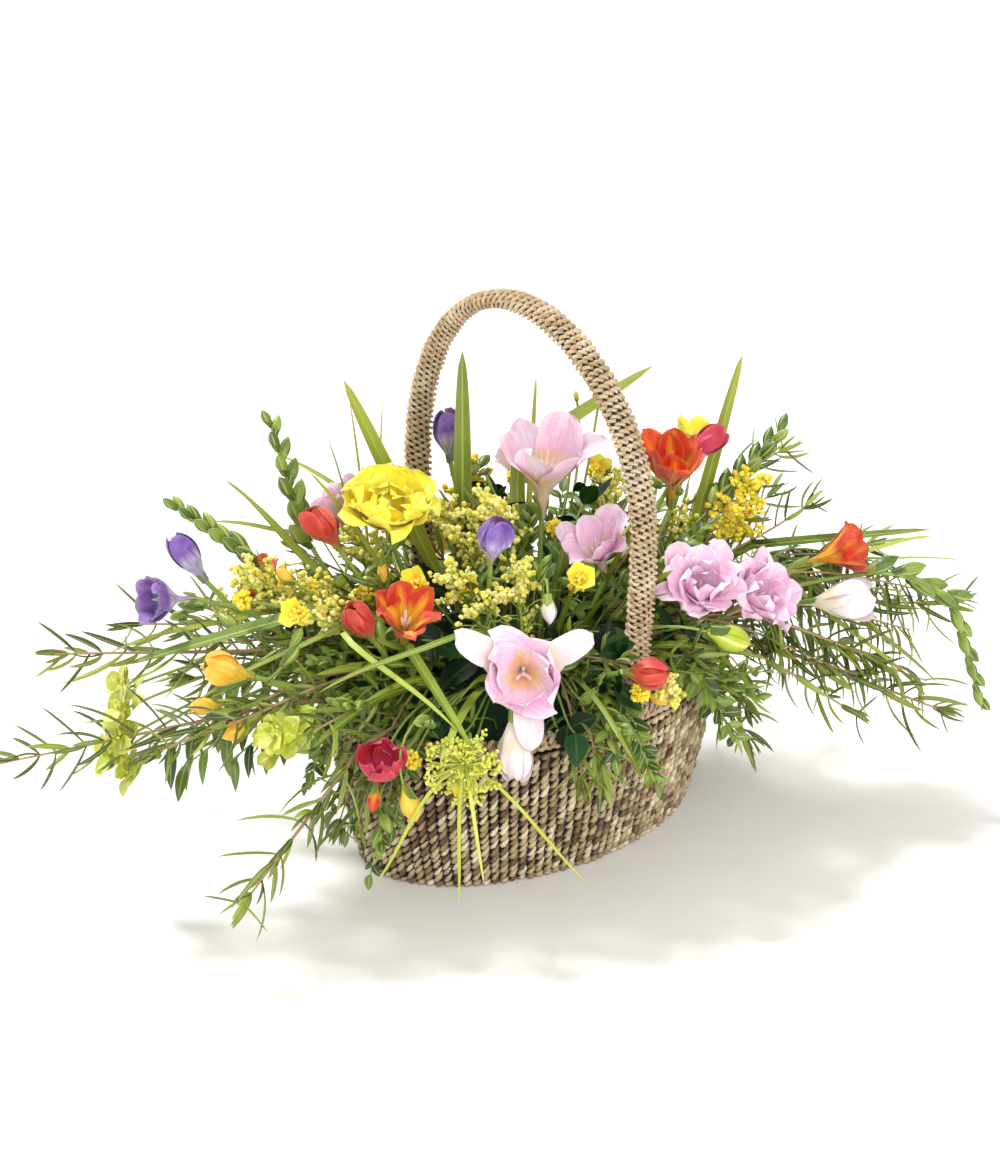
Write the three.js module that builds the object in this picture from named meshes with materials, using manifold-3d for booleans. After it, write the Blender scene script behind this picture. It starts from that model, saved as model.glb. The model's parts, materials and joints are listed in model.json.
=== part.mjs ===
// A flower basket arrangement: an oval basket of twisted seagrass with a wrapped hoop handle,
// a plastic liner and a block of floral foam inside it, and cut flowers and foliage pushed into
// the foam: freesia blooms and buds, goldenrod, rosemary, grassy blades and one dill umbel.
//
// Units are millimetres, +Z is up and the origin is the middle of the basket's underside.
// +X runs along the basket's long side. The handle spans the short side, from -Y to +Y.
//
// Every cutting is one skin: a turned profile bent along its own stem, from the cut end in the
// foam to the tip, so a flower, its tube and its stem are one piece as they grew.

import * as THREE from "three";
import { mergeVertices } from "three/addons/utils/BufferGeometryUtils.js";
import Module from "manifold-3d";

const wasm = await Module();
wasm.setup();

// ---- Driving dimensions -------------------------------------------------------------------

const GAP = 0.4; // clearance left between pieces that touch

const OVAL = 37; // the long half-axis of every basket oval is this much more than the short one
const BASE_LONG = 102; // half-length of the basket at the floor
const RIM_LONG = 115; // half-length of the basket at the rim
const WALL_HEIGHT = 74;
const WALL = 7; // thickness of the woven side
const BASE_THICK = 5;
const RIM_RADIUS = 5; // the rolled border on top of the side
const OVAL_SIDES = 36;

const LINER_THICK = 1.2;
const LINER_SLACK = 1.5; // room between the liner and the woven side
const FOAM_TOP = 102;
const FOAM_SHOULDER = 9; // bevel round the foam's top edge
const FOAM_SLACK = 1.2; // room between the foam and the liner
const FOAM_STEP = 68; // height where the foam narrows to its neck
const FOAM_NECK = 14; // how far the neck stands back from the foam below it

const HANDLE_SPAN = 80; // half-width of the hoop where the arch springs
const HANDLE_SPRING = 172; // height where the legs end and the arch begins
const HANDLE_TOP = 273; // height of the hoop's centre line
const HANDLE_LEAN = 8; // how far the top of the arch stands off the middle, towards +Y
const HANDLE_WIDE = 9; // half-width of the wrapping along X
const HANDLE_DEEP = 5; // half-thickness of the wrapping across it
const CORE_RADIUS = 1.8; // the hoop of wire inside the wrapping
const CORE_SOCKET = 2.6; // the hole that the wire sits in
const CORE_FOOT = 26; // height of the wire's cut ends, inside the woven side

const STEM = 1.3; // half-thickness of a cut stem
const INSERTED = 18; // how far a cut end is pushed into the foam
const CLEAR = INSERTED + 10; // distance up a stem at which it is well clear of the foam
const HEART = 45; // height of the point that the stems fan out from

// ---- Colours ------------------------------------------------------------------------------

const COLOUR = {
  seagrass: [0xb49a72, 0.85],
  wire: [0x8a8378, 0.45],
  liner: [0x20231f, 0.35],
  foam: [0x2f6b38, 0.95],
  pink: [0xe6b4dc, 0.55],
  palePink: [0xf4dfe6, 0.55],
  yellow: [0xf7dc17, 0.55],
  red: [0xd8301c, 0.5],
  orange: [0xe8461a, 0.5],
  purple: [0x6b46a4, 0.55],
  gold: [0xdcca35, 0.8],
  leaf: [0x6f8f35, 0.6],
  needle: [0x5f7f3a, 0.6],
  dill: [0xc4cc3f, 0.7],
};

function finish(colour) {
  const [color, roughness] = COLOUR[colour];
  const metalness = colour === "wire" ? 0.9 : 0;
  return new THREE.MeshStandardMaterial({ color, roughness, metalness });
}

// ---- Solids -------------------------------------------------------------------------------

function toSolid(geometry) {
  const bare = geometry.clone();
  bare.deleteAttribute("normal");
  bare.deleteAttribute("uv");
  const merged = mergeVertices(bare, 1e-3);
  const triVerts = new Uint32Array(merged.index.array);
  const vertProperties = new Float32Array(merged.attributes.position.array);
  return new wasm.Manifold(new wasm.Mesh({ numProp: 3, vertProperties, triVerts }));
}

function toGeometry(solid) {
  const mesh = solid.getMesh();
  const points = new THREE.BufferAttribute(new Float32Array(mesh.vertProperties), 3);
  const geometry = new THREE.BufferGeometry().setAttribute("position", points);
  geometry.setIndex(new THREE.BufferAttribute(mesh.triVerts, 1));
  geometry.computeVertexNormals();
  return geometry;
}

const arrangement = new THREE.Group();

function add(name, geometry, colour) {
  const mesh = new THREE.Mesh(geometry, finish(colour));
  mesh.name = name;
  arrangement.add(mesh);
}

// ---- The basket ---------------------------------------------------------------------------

// A closed oval ring: the profile of [half-length, height] points is turned about the upright
// axis, and each point is then drawn in along Y until its short half-axis is OVAL less.
function ovalRing(profile) {
  const points = profile.map(([long, z]) => new THREE.Vector2(long, z));
  const turned = new THREE.LatheGeometry(points, OVAL_SIDES);
  const place = turned.attributes.position;
  for (let i = 0; i < place.count; i++) {
    const [x, up, y] = [place.getX(i), place.getY(i), place.getZ(i)];
    const long = Math.hypot(x, y);
    place.setXYZ(i, x, -y * (1 - OVAL / long), up);
  }
  return toSolid(turned);
}

// A solid stack of ovals, [half-length, height] from bottom to top, closed flat at both ends.
function ovalPlug(rings) {
  const levels = rings.length - 1;
  const stack = new THREE.CylinderGeometry(1, 1, 1, OVAL_SIDES, levels);
  const place = stack.attributes.position;
  for (let i = 0; i < place.count; i++) {
    const [long, z] = rings[Math.round((place.getY(i) + 0.5) * levels)];
    place.setXYZ(i, place.getX(i) * long, -place.getZ(i) * (long - OVAL), z);
  }
  return toSolid(stack);
}

// Half-length of the side's outer face at a height: it flares in a shallow curve.
function sideLong(z) {
  const rise = Math.min(z / WALL_HEIGHT, 1);
  return BASE_LONG + (RIM_LONG - BASE_LONG) * Math.sin((rise * Math.PI) / 2);
}

function sideSolid() {
  const heights = [0, 0.3, 0.65, 1].map((share) => share * WALL_HEIGHT);
  const outer = heights.map((z) => [sideLong(z), z]);
  const inner = heights.map((z) => [sideLong(z) - WALL, z]).reverse();
  return ovalRing([...outer, ...inner, outer[0]]);
}

function rimSolid() {
  const [long, z] = [RIM_LONG - WALL / 2, WALL_HEIGHT + GAP + RIM_RADIUS];
  const sides = 8;
  const ring = Array.from({ length: sides + 1 }, (_, i) => {
    const angle = (i / sides) * 2 * Math.PI;
    return [long + RIM_RADIUS * Math.cos(angle), z + RIM_RADIUS * Math.sin(angle)];
  });
  return ovalRing(ring);
}

function baseSolid() {
  const edge = BASE_LONG - WALL - GAP;
  return ovalPlug([
    [edge, 0],
    [edge, BASE_THICK],
  ]);
}

// Half-lengths of the liner's outer face and of the foam at a height.
const linerLong = (z) => sideLong(z) - WALL - LINER_SLACK;
const foamLong = (z) => linerLong(z) - LINER_THICK - FOAM_SLACK;

const LINER_LIP = WALL_HEIGHT - 2;
const LINER_FLOOR = BASE_THICK + GAP;
const NECK_LONG = foamLong(FOAM_STEP) - FOAM_NECK;

function linerSolid() {
  const heights = [LINER_FLOOR, LINER_LIP / 2, LINER_LIP];
  const outer = heights.map((z) => [linerLong(z), z]);
  const hollow = heights.map((z) => [linerLong(z) - LINER_THICK, z]);
  hollow[0][1] += LINER_THICK;
  hollow.push([linerLong(LINER_LIP) - LINER_THICK, LINER_LIP + 1]);
  return ovalPlug(outer).subtract(ovalPlug(hollow));
}

function foamSolid() {
  const floor = LINER_FLOOR + LINER_THICK + GAP;
  return ovalPlug([
    [foamLong(floor), floor],
    [foamLong(FOAM_STEP / 2), FOAM_STEP / 2],
    [foamLong(FOAM_STEP), FOAM_STEP],
    [NECK_LONG, FOAM_STEP + 3],
    [NECK_LONG, FOAM_TOP - FOAM_SHOULDER],
    [NECK_LONG - FOAM_SHOULDER, FOAM_TOP],
  ]);
}

// ---- The handle ---------------------------------------------------------------------------

// Distance of a leg's centre line from the middle plane: it follows the middle of the woven
// side and then leans out a little until the arch springs.
function legOut(z) {
  const inSide = sideLong(z) - OVAL - WALL / 2;
  const lean = THREE.MathUtils.smoothstep(z, WALL_HEIGHT, HANDLE_SPRING);
  return THREE.MathUtils.lerp(inSide, HANDLE_SPAN, lean);
}

// The hoop's centre line, from a foot at the given height, up over the arch and down again.
function hoopPoints(foot) {
  const legSteps = 7;
  const leg = Array.from({ length: legSteps }, (_, i) => {
    const z = THREE.MathUtils.lerp(foot, HANDLE_SPRING, i / legSteps);
    return [legOut(z), z];
  });
  const archSteps = 20;
  const arch = Array.from({ length: archSteps + 1 }, (_, i) => {
    const angle = (i / archSteps) * Math.PI;
    const rise = (HANDLE_TOP - HANDLE_SPRING) * Math.sin(angle);
    const lean = HANDLE_LEAN * Math.sin(angle) ** 2;
    return [HANDLE_SPAN * Math.cos(angle) + lean, HANDLE_SPRING + rise];
  });
  const far = leg.map(([y, z]) => [-y, z]).reverse();
  return [...leg, ...arch, ...far].map(([y, z]) => new THREE.Vector3(0, y, z));
}

// Sweeps a section along the hoop, from feet at the given height. The section's X runs along
// the basket, square to the hoop's plane, and its Y points out of the hoop.
function alongHoop(section, foot, steps) {
  const extrudePath = new THREE.CatmullRomCurve3(hoopPoints(foot), false, "centripetal");
  return new THREE.ExtrudeGeometry(section, { steps, extrudePath, curveSegments: 4 });
}

function oval(halfX, halfY) {
  return new THREE.Shape().absellipse(0, 0, halfX, halfY, 0, 2 * Math.PI);
}

function wrappingSolid() {
  const section = oval(HANDLE_WIDE, HANDLE_DEEP);
  section.holes.push(oval(CORE_SOCKET, CORE_SOCKET));
  const foot = WALL_HEIGHT + 2 * RIM_RADIUS + 3 * GAP;
  return alongHoop(section, foot, 30);
}

const hoopOfWire = (radius, foot) => alongHoop(oval(radius, radius), foot, 36);

// ---- Cuttings -----------------------------------------------------------------------------

const point = (p) => new THREE.Vector3(...p);

// Where a stem that heads from the foam's heart towards `aim` leaves the foam, and its heading.
function leaving(aim, heartZ) {
  const heart = new THREE.Vector3(THREE.MathUtils.clamp(aim.x * 0.45, -48, 48), 0, heartZ);
  const heading = aim.clone().sub(heart).normalize();
  const spot = heart.clone();
  const inNeck = ({ x, y }) => Math.hypot(x / NECK_LONG, y / (NECK_LONG - OVAL)) < 1;
  while (inNeck(spot) && spot.z < FOAM_TOP) spot.addScaledVector(heading, 0.5);
  return { spot, heading };
}

// A stem's line: straight from its cut end until it is clear of the foam, through `via` if there
// is one, to the head, where it arrives along `face`, and then straight on for the head's length.
function stemLine({ head, face, length, via, heart = HEART }) {
  const end = point(head);
  const along = point(face).normalize();
  const { spot, heading } = leaving(via ? point(via) : end, heart);
  const foot = spot.clone().addScaledVector(heading, -INSERTED);
  const start = foot.clone().addScaledVector(heading, CLEAR);
  const line = new THREE.CurvePath();
  line.add(new THREE.LineCurve3(foot, start));
  if (via) {
    const middle = point(via);
    const turn = end.clone().sub(start).normalize();
    line.add(bezier(start, heading, middle, turn));
    line.add(bezier(middle, turn, end, along));
  } else {
    line.add(bezier(start, heading, end, along));
  }
  line.add(new THREE.LineCurve3(end, end.clone().addScaledVector(along, length)));
  return { line, heading, along, stem: line.getLength() - length };
}

function bezier(from, setOff, to, arrive) {
  const pull = 0.37 * from.distanceTo(to);
  const afterFrom = from.clone().addScaledVector(setOff, pull);
  const beforeTo = to.clone().addScaledVector(arrive, -pull);
  return new THREE.CubicBezierCurve3(from, afterFrom, beforeTo, to);
}

// The direction that a cutting's flat side looks to: given, or square to the bend of its stem.
function flatSide({ looks }, heading, along) {
  if (looks) return point(looks).normalize();
  const square = heading.clone().cross(along);
  const nearlyStraight = 0.05;
  if (square.length() < nearlyStraight) square.set(heading.y, -heading.x, 0.2);
  return square.normalize();
}

// Bends a turned profile along a line. Each station is [distance, half-width, flatness, lobes]:
// flatness scales the thickness against the width, and lobes is the depth of six petal notches.
function bentSkin(line, looks, stations, sides) {
  const profile = stations.map(([distance, width]) => new THREE.Vector2(width, distance));
  const turned = new THREE.LatheGeometry(profile, sides);
  const place = turned.attributes.position;
  const total = line.getLength();
  const frames = stations.map(([distance]) => {
    const share = THREE.MathUtils.clamp(distance / total, 0, 1);
    const tangent = line.getTangent(share);
    const middle = line.getPoint(share).addScaledVector(tangent, distance - share * total);
    const side = tangent.clone().cross(looks).normalize();
    return { middle, side, normal: side.clone().cross(tangent).normalize() };
  });
  for (let i = 0; i < place.count; i++) {
    const j = i % stations.length;
    const turn = (Math.floor(i / stations.length) / sides) * 2 * Math.PI;
    const [, width, flatness = 1, lobes = 0] = stations[j];
    const radius = width * (1 - lobes * (0.5 - 0.5 * Math.cos(6 * turn)));
    const { middle, side, normal } = frames[j];
    const at = middle.clone();
    at.addScaledVector(side, radius * Math.sin(turn));
    at.addScaledVector(normal, radius * flatness * Math.cos(turn));
    place.setXYZ(i, at.x, at.y, at.z);
  }
  return turned;
}

// Stations of the bare stem: the cut end, where it is clear of the foam, and on to the head.
function stemStations(length) {
  const bare = length - CLEAR;
  const spans = Math.max(1, Math.round(bare / 32));
  const rings = Array.from({ length: spans + 1 }, (_, i) => [CLEAR + (i / spans) * bare, STEM]);
  return [[0, 0], [0, STEM], ...rings];
}

// What grows on each kind of stem: stations from the head's base, `length` long, `wide` across
// at its half-width, and the number of sides of the skin.
const HEADS = {
  // An open flower: a slender tube, six lobes round the mouth, and the hollow inside it.
  bloom: {
    sides: 12,
    stations: ({ length, wide }) => [
      [0.12 * length, 2.2],
      [0.5 * length, 0.25 * wide, 1, 0.05],
      [0.8 * length, 0.66 * wide, 1, 0.12],
      [length, wide, 1, 0.3],
      [0.97 * length, 0.9 * wide, 1, 0.3],
      [0.74 * length, 0.48 * wide, 1, 0.1],
      [0.5 * length, 0],
    ],
  },
  // A closed bud: a spindle, fattest past its middle.
  bud: {
    sides: 8,
    stations: ({ length, wide }) => [
      [0.12 * length, 2.0],
      [0.35 * length, 0.62 * wide],
      [0.62 * length, wide],
      [0.85 * length, 0.7 * wide],
      [length, 0],
    ],
  },
  // A spike of green buds set close along one stem, smaller and smaller towards the tip.
  spike: {
    sides: 6,
    stations: ({ length, wide }) => {
      const buds = 7;
      const stations = [];
      for (let i = 0; i < buds; i++) {
        const size = wide * (1 - (0.62 * i) / buds);
        stations.push([((i + 0.1) / buds) * length, 0.45 * size, 0.7]);
        stations.push([((i + 0.65) / buds) * length, size, 0.7]);
      }
      stations.push([length, 0]);
      return stations;
    },
  },
  // A goldenrod plume: a ragged cone of small heads.
  plume: {
    sides: 7,
    stations: ({ length, wide }) => [
      [0.08 * length, 0.3 * wide, 0.7],
      [0.25 * length, wide, 0.7],
      [0.4 * length, 0.72 * wide, 0.7],
      [0.58 * length, 0.86 * wide, 0.7],
      [0.72 * length, 0.5 * wide, 0.7],
      [0.86 * length, 0.52 * wide, 0.7],
      [length, 0],
    ],
  },
  // A needle-leaved sprig: pairs of needles swept forward, drawn as one flat toothed feather.
  sprig: {
    sides: 4,
    stations: ({ length, wide }) => {
      const pairs = Math.round(length / 13);
      const stations = [];
      for (let i = 0; i < pairs; i++) {
        const share = i / pairs;
        const needle = wide * Math.min(1, 0.55 + 1.3 * share, 2.2 * (1 - share) + 0.25);
        stations.push([share * length, 1.5, 0.8]);
        stations.push([(share + 0.72 / pairs) * length, needle, 0.9 / needle]);
      }
      stations.push([length, 0]);
      return stations;
    },
  },
  // A grassy blade: long, thin and pointed.
  blade: {
    sides: 4,
    stations: ({ length, wide }) => [
      [0.1 * length, 0.75 * wide, 0.16],
      [0.4 * length, wide, 0.13],
      [0.7 * length, 0.82 * wide, 0.13],
      [0.9 * length, 0.4 * wide, 0.16],
      [length, 0],
    ],
  },
  // A sprig of small leaves: a flat spindle with a wavy edge.
  leafy: {
    sides: 4,
    stations: ({ length, wide }) => [
      [0.1 * length, 0.5 * wide, 0.35],
      [0.3 * length, wide, 0.3],
      [0.48 * length, 0.7 * wide, 0.35],
      [0.62 * length, 0.88 * wide, 0.3],
      [0.8 * length, 0.5 * wide, 0.4],
      [length, 0],
    ],
  },
  // A dill umbel: a small hub of florets that the long rays hang from.
  umbel: {
    sides: 8,
    stations: ({ length, wide }) => [
      [0.15 * length, 0.5 * wide],
      [0.5 * length, wide],
      [0.85 * length, 0.6 * wide],
      [length, 0],
    ],
  },
};

function cutting({ name, kind, colour, ...plan }) {
  const { line, heading, along, stem } = stemLine(plan);
  const looks = flatSide(plan, heading, along);
  const head = HEADS[kind];
  const stations = [
    ...stemStations(stem),
    ...head.stations(plan).map(([distance, ...rest]) => [stem + distance, ...rest]),
  ];
  const bore = STEM + 2 * GAP;
  const hole = [
    [-1, 0],
    [-1, bore],
    [CLEAR, bore],
    [CLEAR, 0],
  ];
  return {
    name,
    colour,
    body: bentSkin(line, looks, stations, head.sides),
    hole: toSolid(bentSkin(line, looks, hole, 5)),
  };
}

// The cuttings. head: where the flower, plume, needles or blade begin; face: where they point;
// length and wide: their size; via: a place the stem passes; looks: where a flat side faces;
// heart: the height that the stem fans out from, when it is not the usual one.
const CUTTINGS = [
  // Freesia, pink
  { name: "pink_freesia_top", kind: "bloom", colour: "pink",
    head: [10, 0, 160], face: [0, -0.1, 1], length: 46, wide: 29 },
  { name: "pink_freesia_centre", kind: "bloom", colour: "pink",
    head: [15, -40, 138], face: [-0.4, -0.1, 0.9], length: 34, wide: 21 },
  { name: "pink_freesia_right_inner", kind: "bloom", colour: "pink",
    head: [58, -62, 118], face: [-0.45, -0.5, 0.7], length: 34, wide: 22 },
  { name: "pink_freesia_right_outer", kind: "bloom", colour: "pink",
    head: [78, -66, 108], face: [0.1, -0.75, 0.6], length: 34, wide: 22 },
  { name: "pink_freesia_front", kind: "bloom", colour: "pink",
    head: [-62, -60, 120], face: [-0.62, -0.68, 0.2], length: 30, wide: 30 },
  { name: "pale_pink_bud_front", kind: "bud", colour: "palePink",
    head: [-78, -70, 106], face: [-0.25, -0.3, -1], length: 34, wide: 9, heart: 84 },
  { name: "pale_pink_bud_right", kind: "bud", colour: "palePink",
    head: [110, -85, 110], face: [0.7, -0.7, 0.1], length: 36, wide: 12, heart: 75 },
  // Freesia, yellow
  { name: "yellow_freesia_large", kind: "bloom", colour: "yellow",
    head: [-55, 40, 155], face: [-0.25, -0.25, 0.95], length: 30, wide: 27 },
  { name: "yellow_freesia_back", kind: "bloom", colour: "yellow",
    head: [120, 5, 155], face: [0.2, -0.1, 1], length: 28, wide: 14 },
  { name: "yellow_bud_left", kind: "bud", colour: "yellow",
    head: [-163, 18, 121], face: [-0.85, 0.4, 0.4], length: 27, wide: 8, heart: 65 },
  // Freesia, orange and red
  { name: "orange_freesia_front", kind: "bloom", colour: "orange",
    head: [-90, -6, 124], face: [-0.3, -0.45, 0.85], length: 34, wide: 19 },
  { name: "red_bud_front", kind: "bud", colour: "red",
    head: [-107, -5, 130], face: [-0.55, 0.1, 0.9], length: 26, wide: 7.5 },
  { name: "red_bud_left", kind: "bud", colour: "red",
    head: [-87, 42, 158], face: [-0.5, 0.2, 0.85], length: 28, wide: 8.5 },
  { name: "red_freesia_back", kind: "bloom", colour: "red",
    head: [81, -22, 153], face: [-0.2, -0.2, 1], length: 38, wide: 20 },
  { name: "magenta_bud_back", kind: "bud", colour: "red",
    head: [92, -21, 175], face: [0.75, -0.4, 0.6], length: 25, wide: 7 },
  { name: "orange_freesia_right", kind: "bloom", colour: "orange",
    head: [122, -72, 124], face: [0.6, -0.75, 0.35], length: 38, wide: 14 },
  { name: "red_bud_handle", kind: "bud", colour: "red",
    head: [-30, -94, 118], face: [0.6, -0.75, 0.05], length: 24, wide: 8, heart: 70 },
  { name: "red_freesia_low", kind: "bloom", colour: "red",
    head: [-130, -34, 72], face: [-0.35, -0.45, 0.82], length: 26, wide: 13, heart: 80,
    via: [-98, -36, 101] },
  // Freesia, purple
  { name: "purple_freesia_left", kind: "bloom", colour: "purple",
    head: [-158, 68, 145], face: [-0.9, 0.2, 0.15], length: 27, wide: 13 },
  { name: "purple_bud_left", kind: "bud", colour: "purple",
    head: [-142, 78, 146], face: [-0.45, 0.3, 0.85], length: 29, wide: 7 },
  { name: "purple_bud_centre", kind: "bud", colour: "purple",
    head: [-58, -34, 164], face: [0, -0.2, 1], length: 25, wide: 9 },
  { name: "purple_bud_back", kind: "bud", colour: "purple",
    head: [6, 62, 174], face: [-0.1, 0, 1], length: 30, wide: 8 },
  // Freesia at the back
  { name: "pink_freesia_rear_left", kind: "bloom", colour: "pink",
    head: [-42, 74, 138], face: [-0.35, 0.75, 0.6], length: 34, wide: 22 },
  { name: "pink_freesia_rear_right", kind: "bloom", colour: "pink",
    head: [66, 58, 136], face: [0.35, 0.65, 0.7], length: 34, wide: 22 },
  { name: "yellow_freesia_rear", kind: "bloom", colour: "yellow",
    head: [34, 84, 106], face: [0.2, 0.95, 0.35], length: 30, wide: 20, heart: 65 },
  { name: "orange_freesia_rear", kind: "bloom", colour: "orange",
    head: [-92, 66, 118], face: [-0.4, 0.8, 0.4], length: 34, wide: 19, heart: 65 },
  // Freesia bud spikes
  { name: "bud_spike_left", kind: "spike", colour: "leaf",
    head: [-80, 78, 155], face: [-0.1, 0.3, 1], length: 62, wide: 4.2 },
  { name: "bud_spike_far_left", kind: "spike", colour: "leaf",
    head: [-112, 84, 150], face: [-0.6, 0.5, 0.6], length: 46, wide: 4 },
  { name: "bud_spike_right", kind: "spike", colour: "leaf",
    head: [178, -128, 106], face: [0.1, -0.35, -1], length: 62, wide: 4.5,
    via: [138, -92, 118], heart: 85 },
  { name: "bud_spike_back_right", kind: "spike", colour: "leaf",
    head: [112, -30, 150], face: [0.6, -0.3, 0.75], length: 50, wide: 4.5 },
  // Grassy blades
  { name: "blade_upright", kind: "blade", colour: "leaf",
    head: [-12, 34, 120], face: [0.05, 0.05, 1], length: 122, wide: 4.8, looks: [-0.7, -0.7, 0] },
  { name: "blade_left_back", kind: "blade", colour: "leaf",
    head: [-18, 50, 128], face: [-0.35, 0.25, 1], length: 110, wide: 4.5, looks: [-0.7, -0.7, 0.2] },
  { name: "blade_right_back", kind: "blade", colour: "leaf",
    head: [104, -16, 128], face: [0.25, -0.1, 1], length: 100, wide: 3.5, looks: [-0.7, -0.7, 0] },
  { name: "blade_behind_handle", kind: "blade", colour: "leaf",
    head: [37, 36, 182], face: [0.75, -0.43, 0.5], length: 75, wide: 4, looks: [-0.6, -0.6, 0.5] },
  { name: "blade_far_left", kind: "blade", colour: "leaf",
    head: [-116, 20, 142], face: [-0.88, 0.42, -0.16], length: 100, wide: 4.5, looks: [0, -0.3, 1] },
  { name: "blade_front", kind: "blade", colour: "leaf",
    head: [-104, -26, 132], face: [-0.15, -0.85, -0.5], length: 62, wide: 2.6, looks: [-0.8, 0, 0.6] },
  { name: "blade_right", kind: "blade", colour: "leaf",
    head: [118, -46, 128], face: [0.72, -0.64, 0.08], length: 92, wide: 3.6, looks: [-0.3, -0.2, 1] },
  // Goldenrod
  { name: "goldenrod_centre", kind: "plume", colour: "gold",
    head: [-46, -46, 112], face: [-0.3, -0.2, 0.95], length: 50, wide: 12, looks: [-0.7, -0.7, 0.2] },
  { name: "goldenrod_top", kind: "plume", colour: "gold",
    head: [-34, 6, 142], face: [0.15, -0.25, 0.95], length: 40, wide: 14, looks: [-0.7, -0.7, 0.2] },
  { name: "goldenrod_right", kind: "plume", colour: "gold",
    head: [88, -48, 138], face: [0.5, -0.15, 0.8], length: 40, wide: 12, looks: [-0.6, -0.7, 0.2] },
  { name: "goldenrod_left", kind: "plume", colour: "gold",
    head: [-104, 46, 128], face: [-0.6, 0.5, 0.6], length: 42, wide: 12, looks: [-0.3, -0.3, 0.9] },
  { name: "goldenrod_rear", kind: "plume", colour: "gold",
    head: [22, 50, 128], face: [0.1, 0.45, 0.85], length: 44, wide: 13, looks: [0, 1, -0.3] },
  // Rosemary
  { name: "rosemary_left_long", kind: "sprig", colour: "needle",
    head: [-150, 10, 106], face: [-0.8, 0.55, -0.15], length: 140, wide: 17, heart: 78,
    looks: [-0.1, -0.4, 0.9] },
  { name: "rosemary_left_upper", kind: "sprig", colour: "needle",
    head: [-136, 44, 118], face: [-0.9, 0.35, 0.15], length: 104, wide: 16, heart: 70,
    looks: [0.1, -0.3, 1] },
  { name: "rosemary_front_low", kind: "sprig", colour: "needle",
    head: [-136, -28, 92], face: [-0.82, -0.05, -0.55], length: 98, wide: 16, heart: 84,
    looks: [-0.4, -0.3, 0.85] },
  { name: "rosemary_right_low", kind: "sprig", colour: "needle",
    head: [98, -84, 88], face: [0.6, -0.52, -0.34], length: 96, wide: 16, heart: 84,
    looks: [0, -0.2, 1] },
  { name: "rosemary_right", kind: "sprig", colour: "needle",
    head: [128, -62, 98], face: [0.7, -0.6, -0.02], length: 92, wide: 16, heart: 76,
    looks: [0, 0, 1] },
  { name: "rosemary_back_right", kind: "sprig", colour: "needle",
    head: [104, -2, 138], face: [0.8, -0.38, 0.4], length: 72, wide: 14, looks: [-0.4, -0.6, 0.6] },
  { name: "rosemary_rear_right", kind: "sprig", colour: "needle",
    head: [128, 30, 98], face: [0.9, 0.35, -0.08], length: 104, wide: 16, heart: 80,
    looks: [0, 0, 1] },
  { name: "rosemary_rear_left", kind: "sprig", colour: "needle",
    head: [-72, 92, 98], face: [-0.5, 0.82, -0.1], length: 96, wide: 16, heart: 84,
    looks: [0, 0, 1] },
  // Box foliage that hangs over the rim
  { name: "box_sprig_front", kind: "leafy", colour: "leaf",
    head: [-20, -84, 100], face: [0.1, -0.45, -0.9], length: 46, wide: 17, heart: 84,
    looks: [-0.1, -0.9, 0.4] },
  { name: "box_sprig_front_right", kind: "leafy", colour: "leaf",
    head: [32, -86, 98], face: [0.3, -0.42, -0.9], length: 42, wide: 15, heart: 84,
    looks: [0.2, -0.9, 0.4] },
  // Dill
  { name: "dill_umbel", kind: "umbel", colour: "dill",
    head: [-107, -69, 90], face: [-0.45, -0.35, -0.8], length: 16, wide: 13, heart: 84,
    via: [-86, -52, 104] },
];

// ---- Assembly -----------------------------------------------------------------------------

const grown = CUTTINGS.map(cutting);
const wireHole = toSolid(hoopOfWire(CORE_SOCKET, CORE_FOOT - 3));
const foam = grown.reduce((block, { hole }) => block.subtract(hole), foamSolid());

add("basket_base", toGeometry(baseSolid()), "seagrass");
add("basket_side", toGeometry(sideSolid().subtract(wireHole)), "seagrass");
add("basket_rim", toGeometry(rimSolid().subtract(wireHole)), "seagrass");
add("handle_wrapping", wrappingSolid(), "seagrass");
add("handle_wire", hoopOfWire(CORE_RADIUS, CORE_FOOT), "wire");
add("plastic_liner", toGeometry(linerSolid()), "liner");
add("floral_foam", toGeometry(foam), "foam");
for (const { name, body, colour } of grown) add(name, body, colour);

export default arrangement;
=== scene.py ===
"""The looks of a flower basket arrangement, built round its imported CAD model.

The CAD cuttings are plain skins, each bent along its own stem. Every flower, spray and leaf here
reads its stem's line, its place and its size from the cutting that it stands for. The weave and
the wrapping of the handle follow the CAD basket. Small leaves and florets that only fill the gaps
have places of their own, in millimetres in the CAD model's frame, listed above what uses them.
"""

import json
import math
import random

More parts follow.
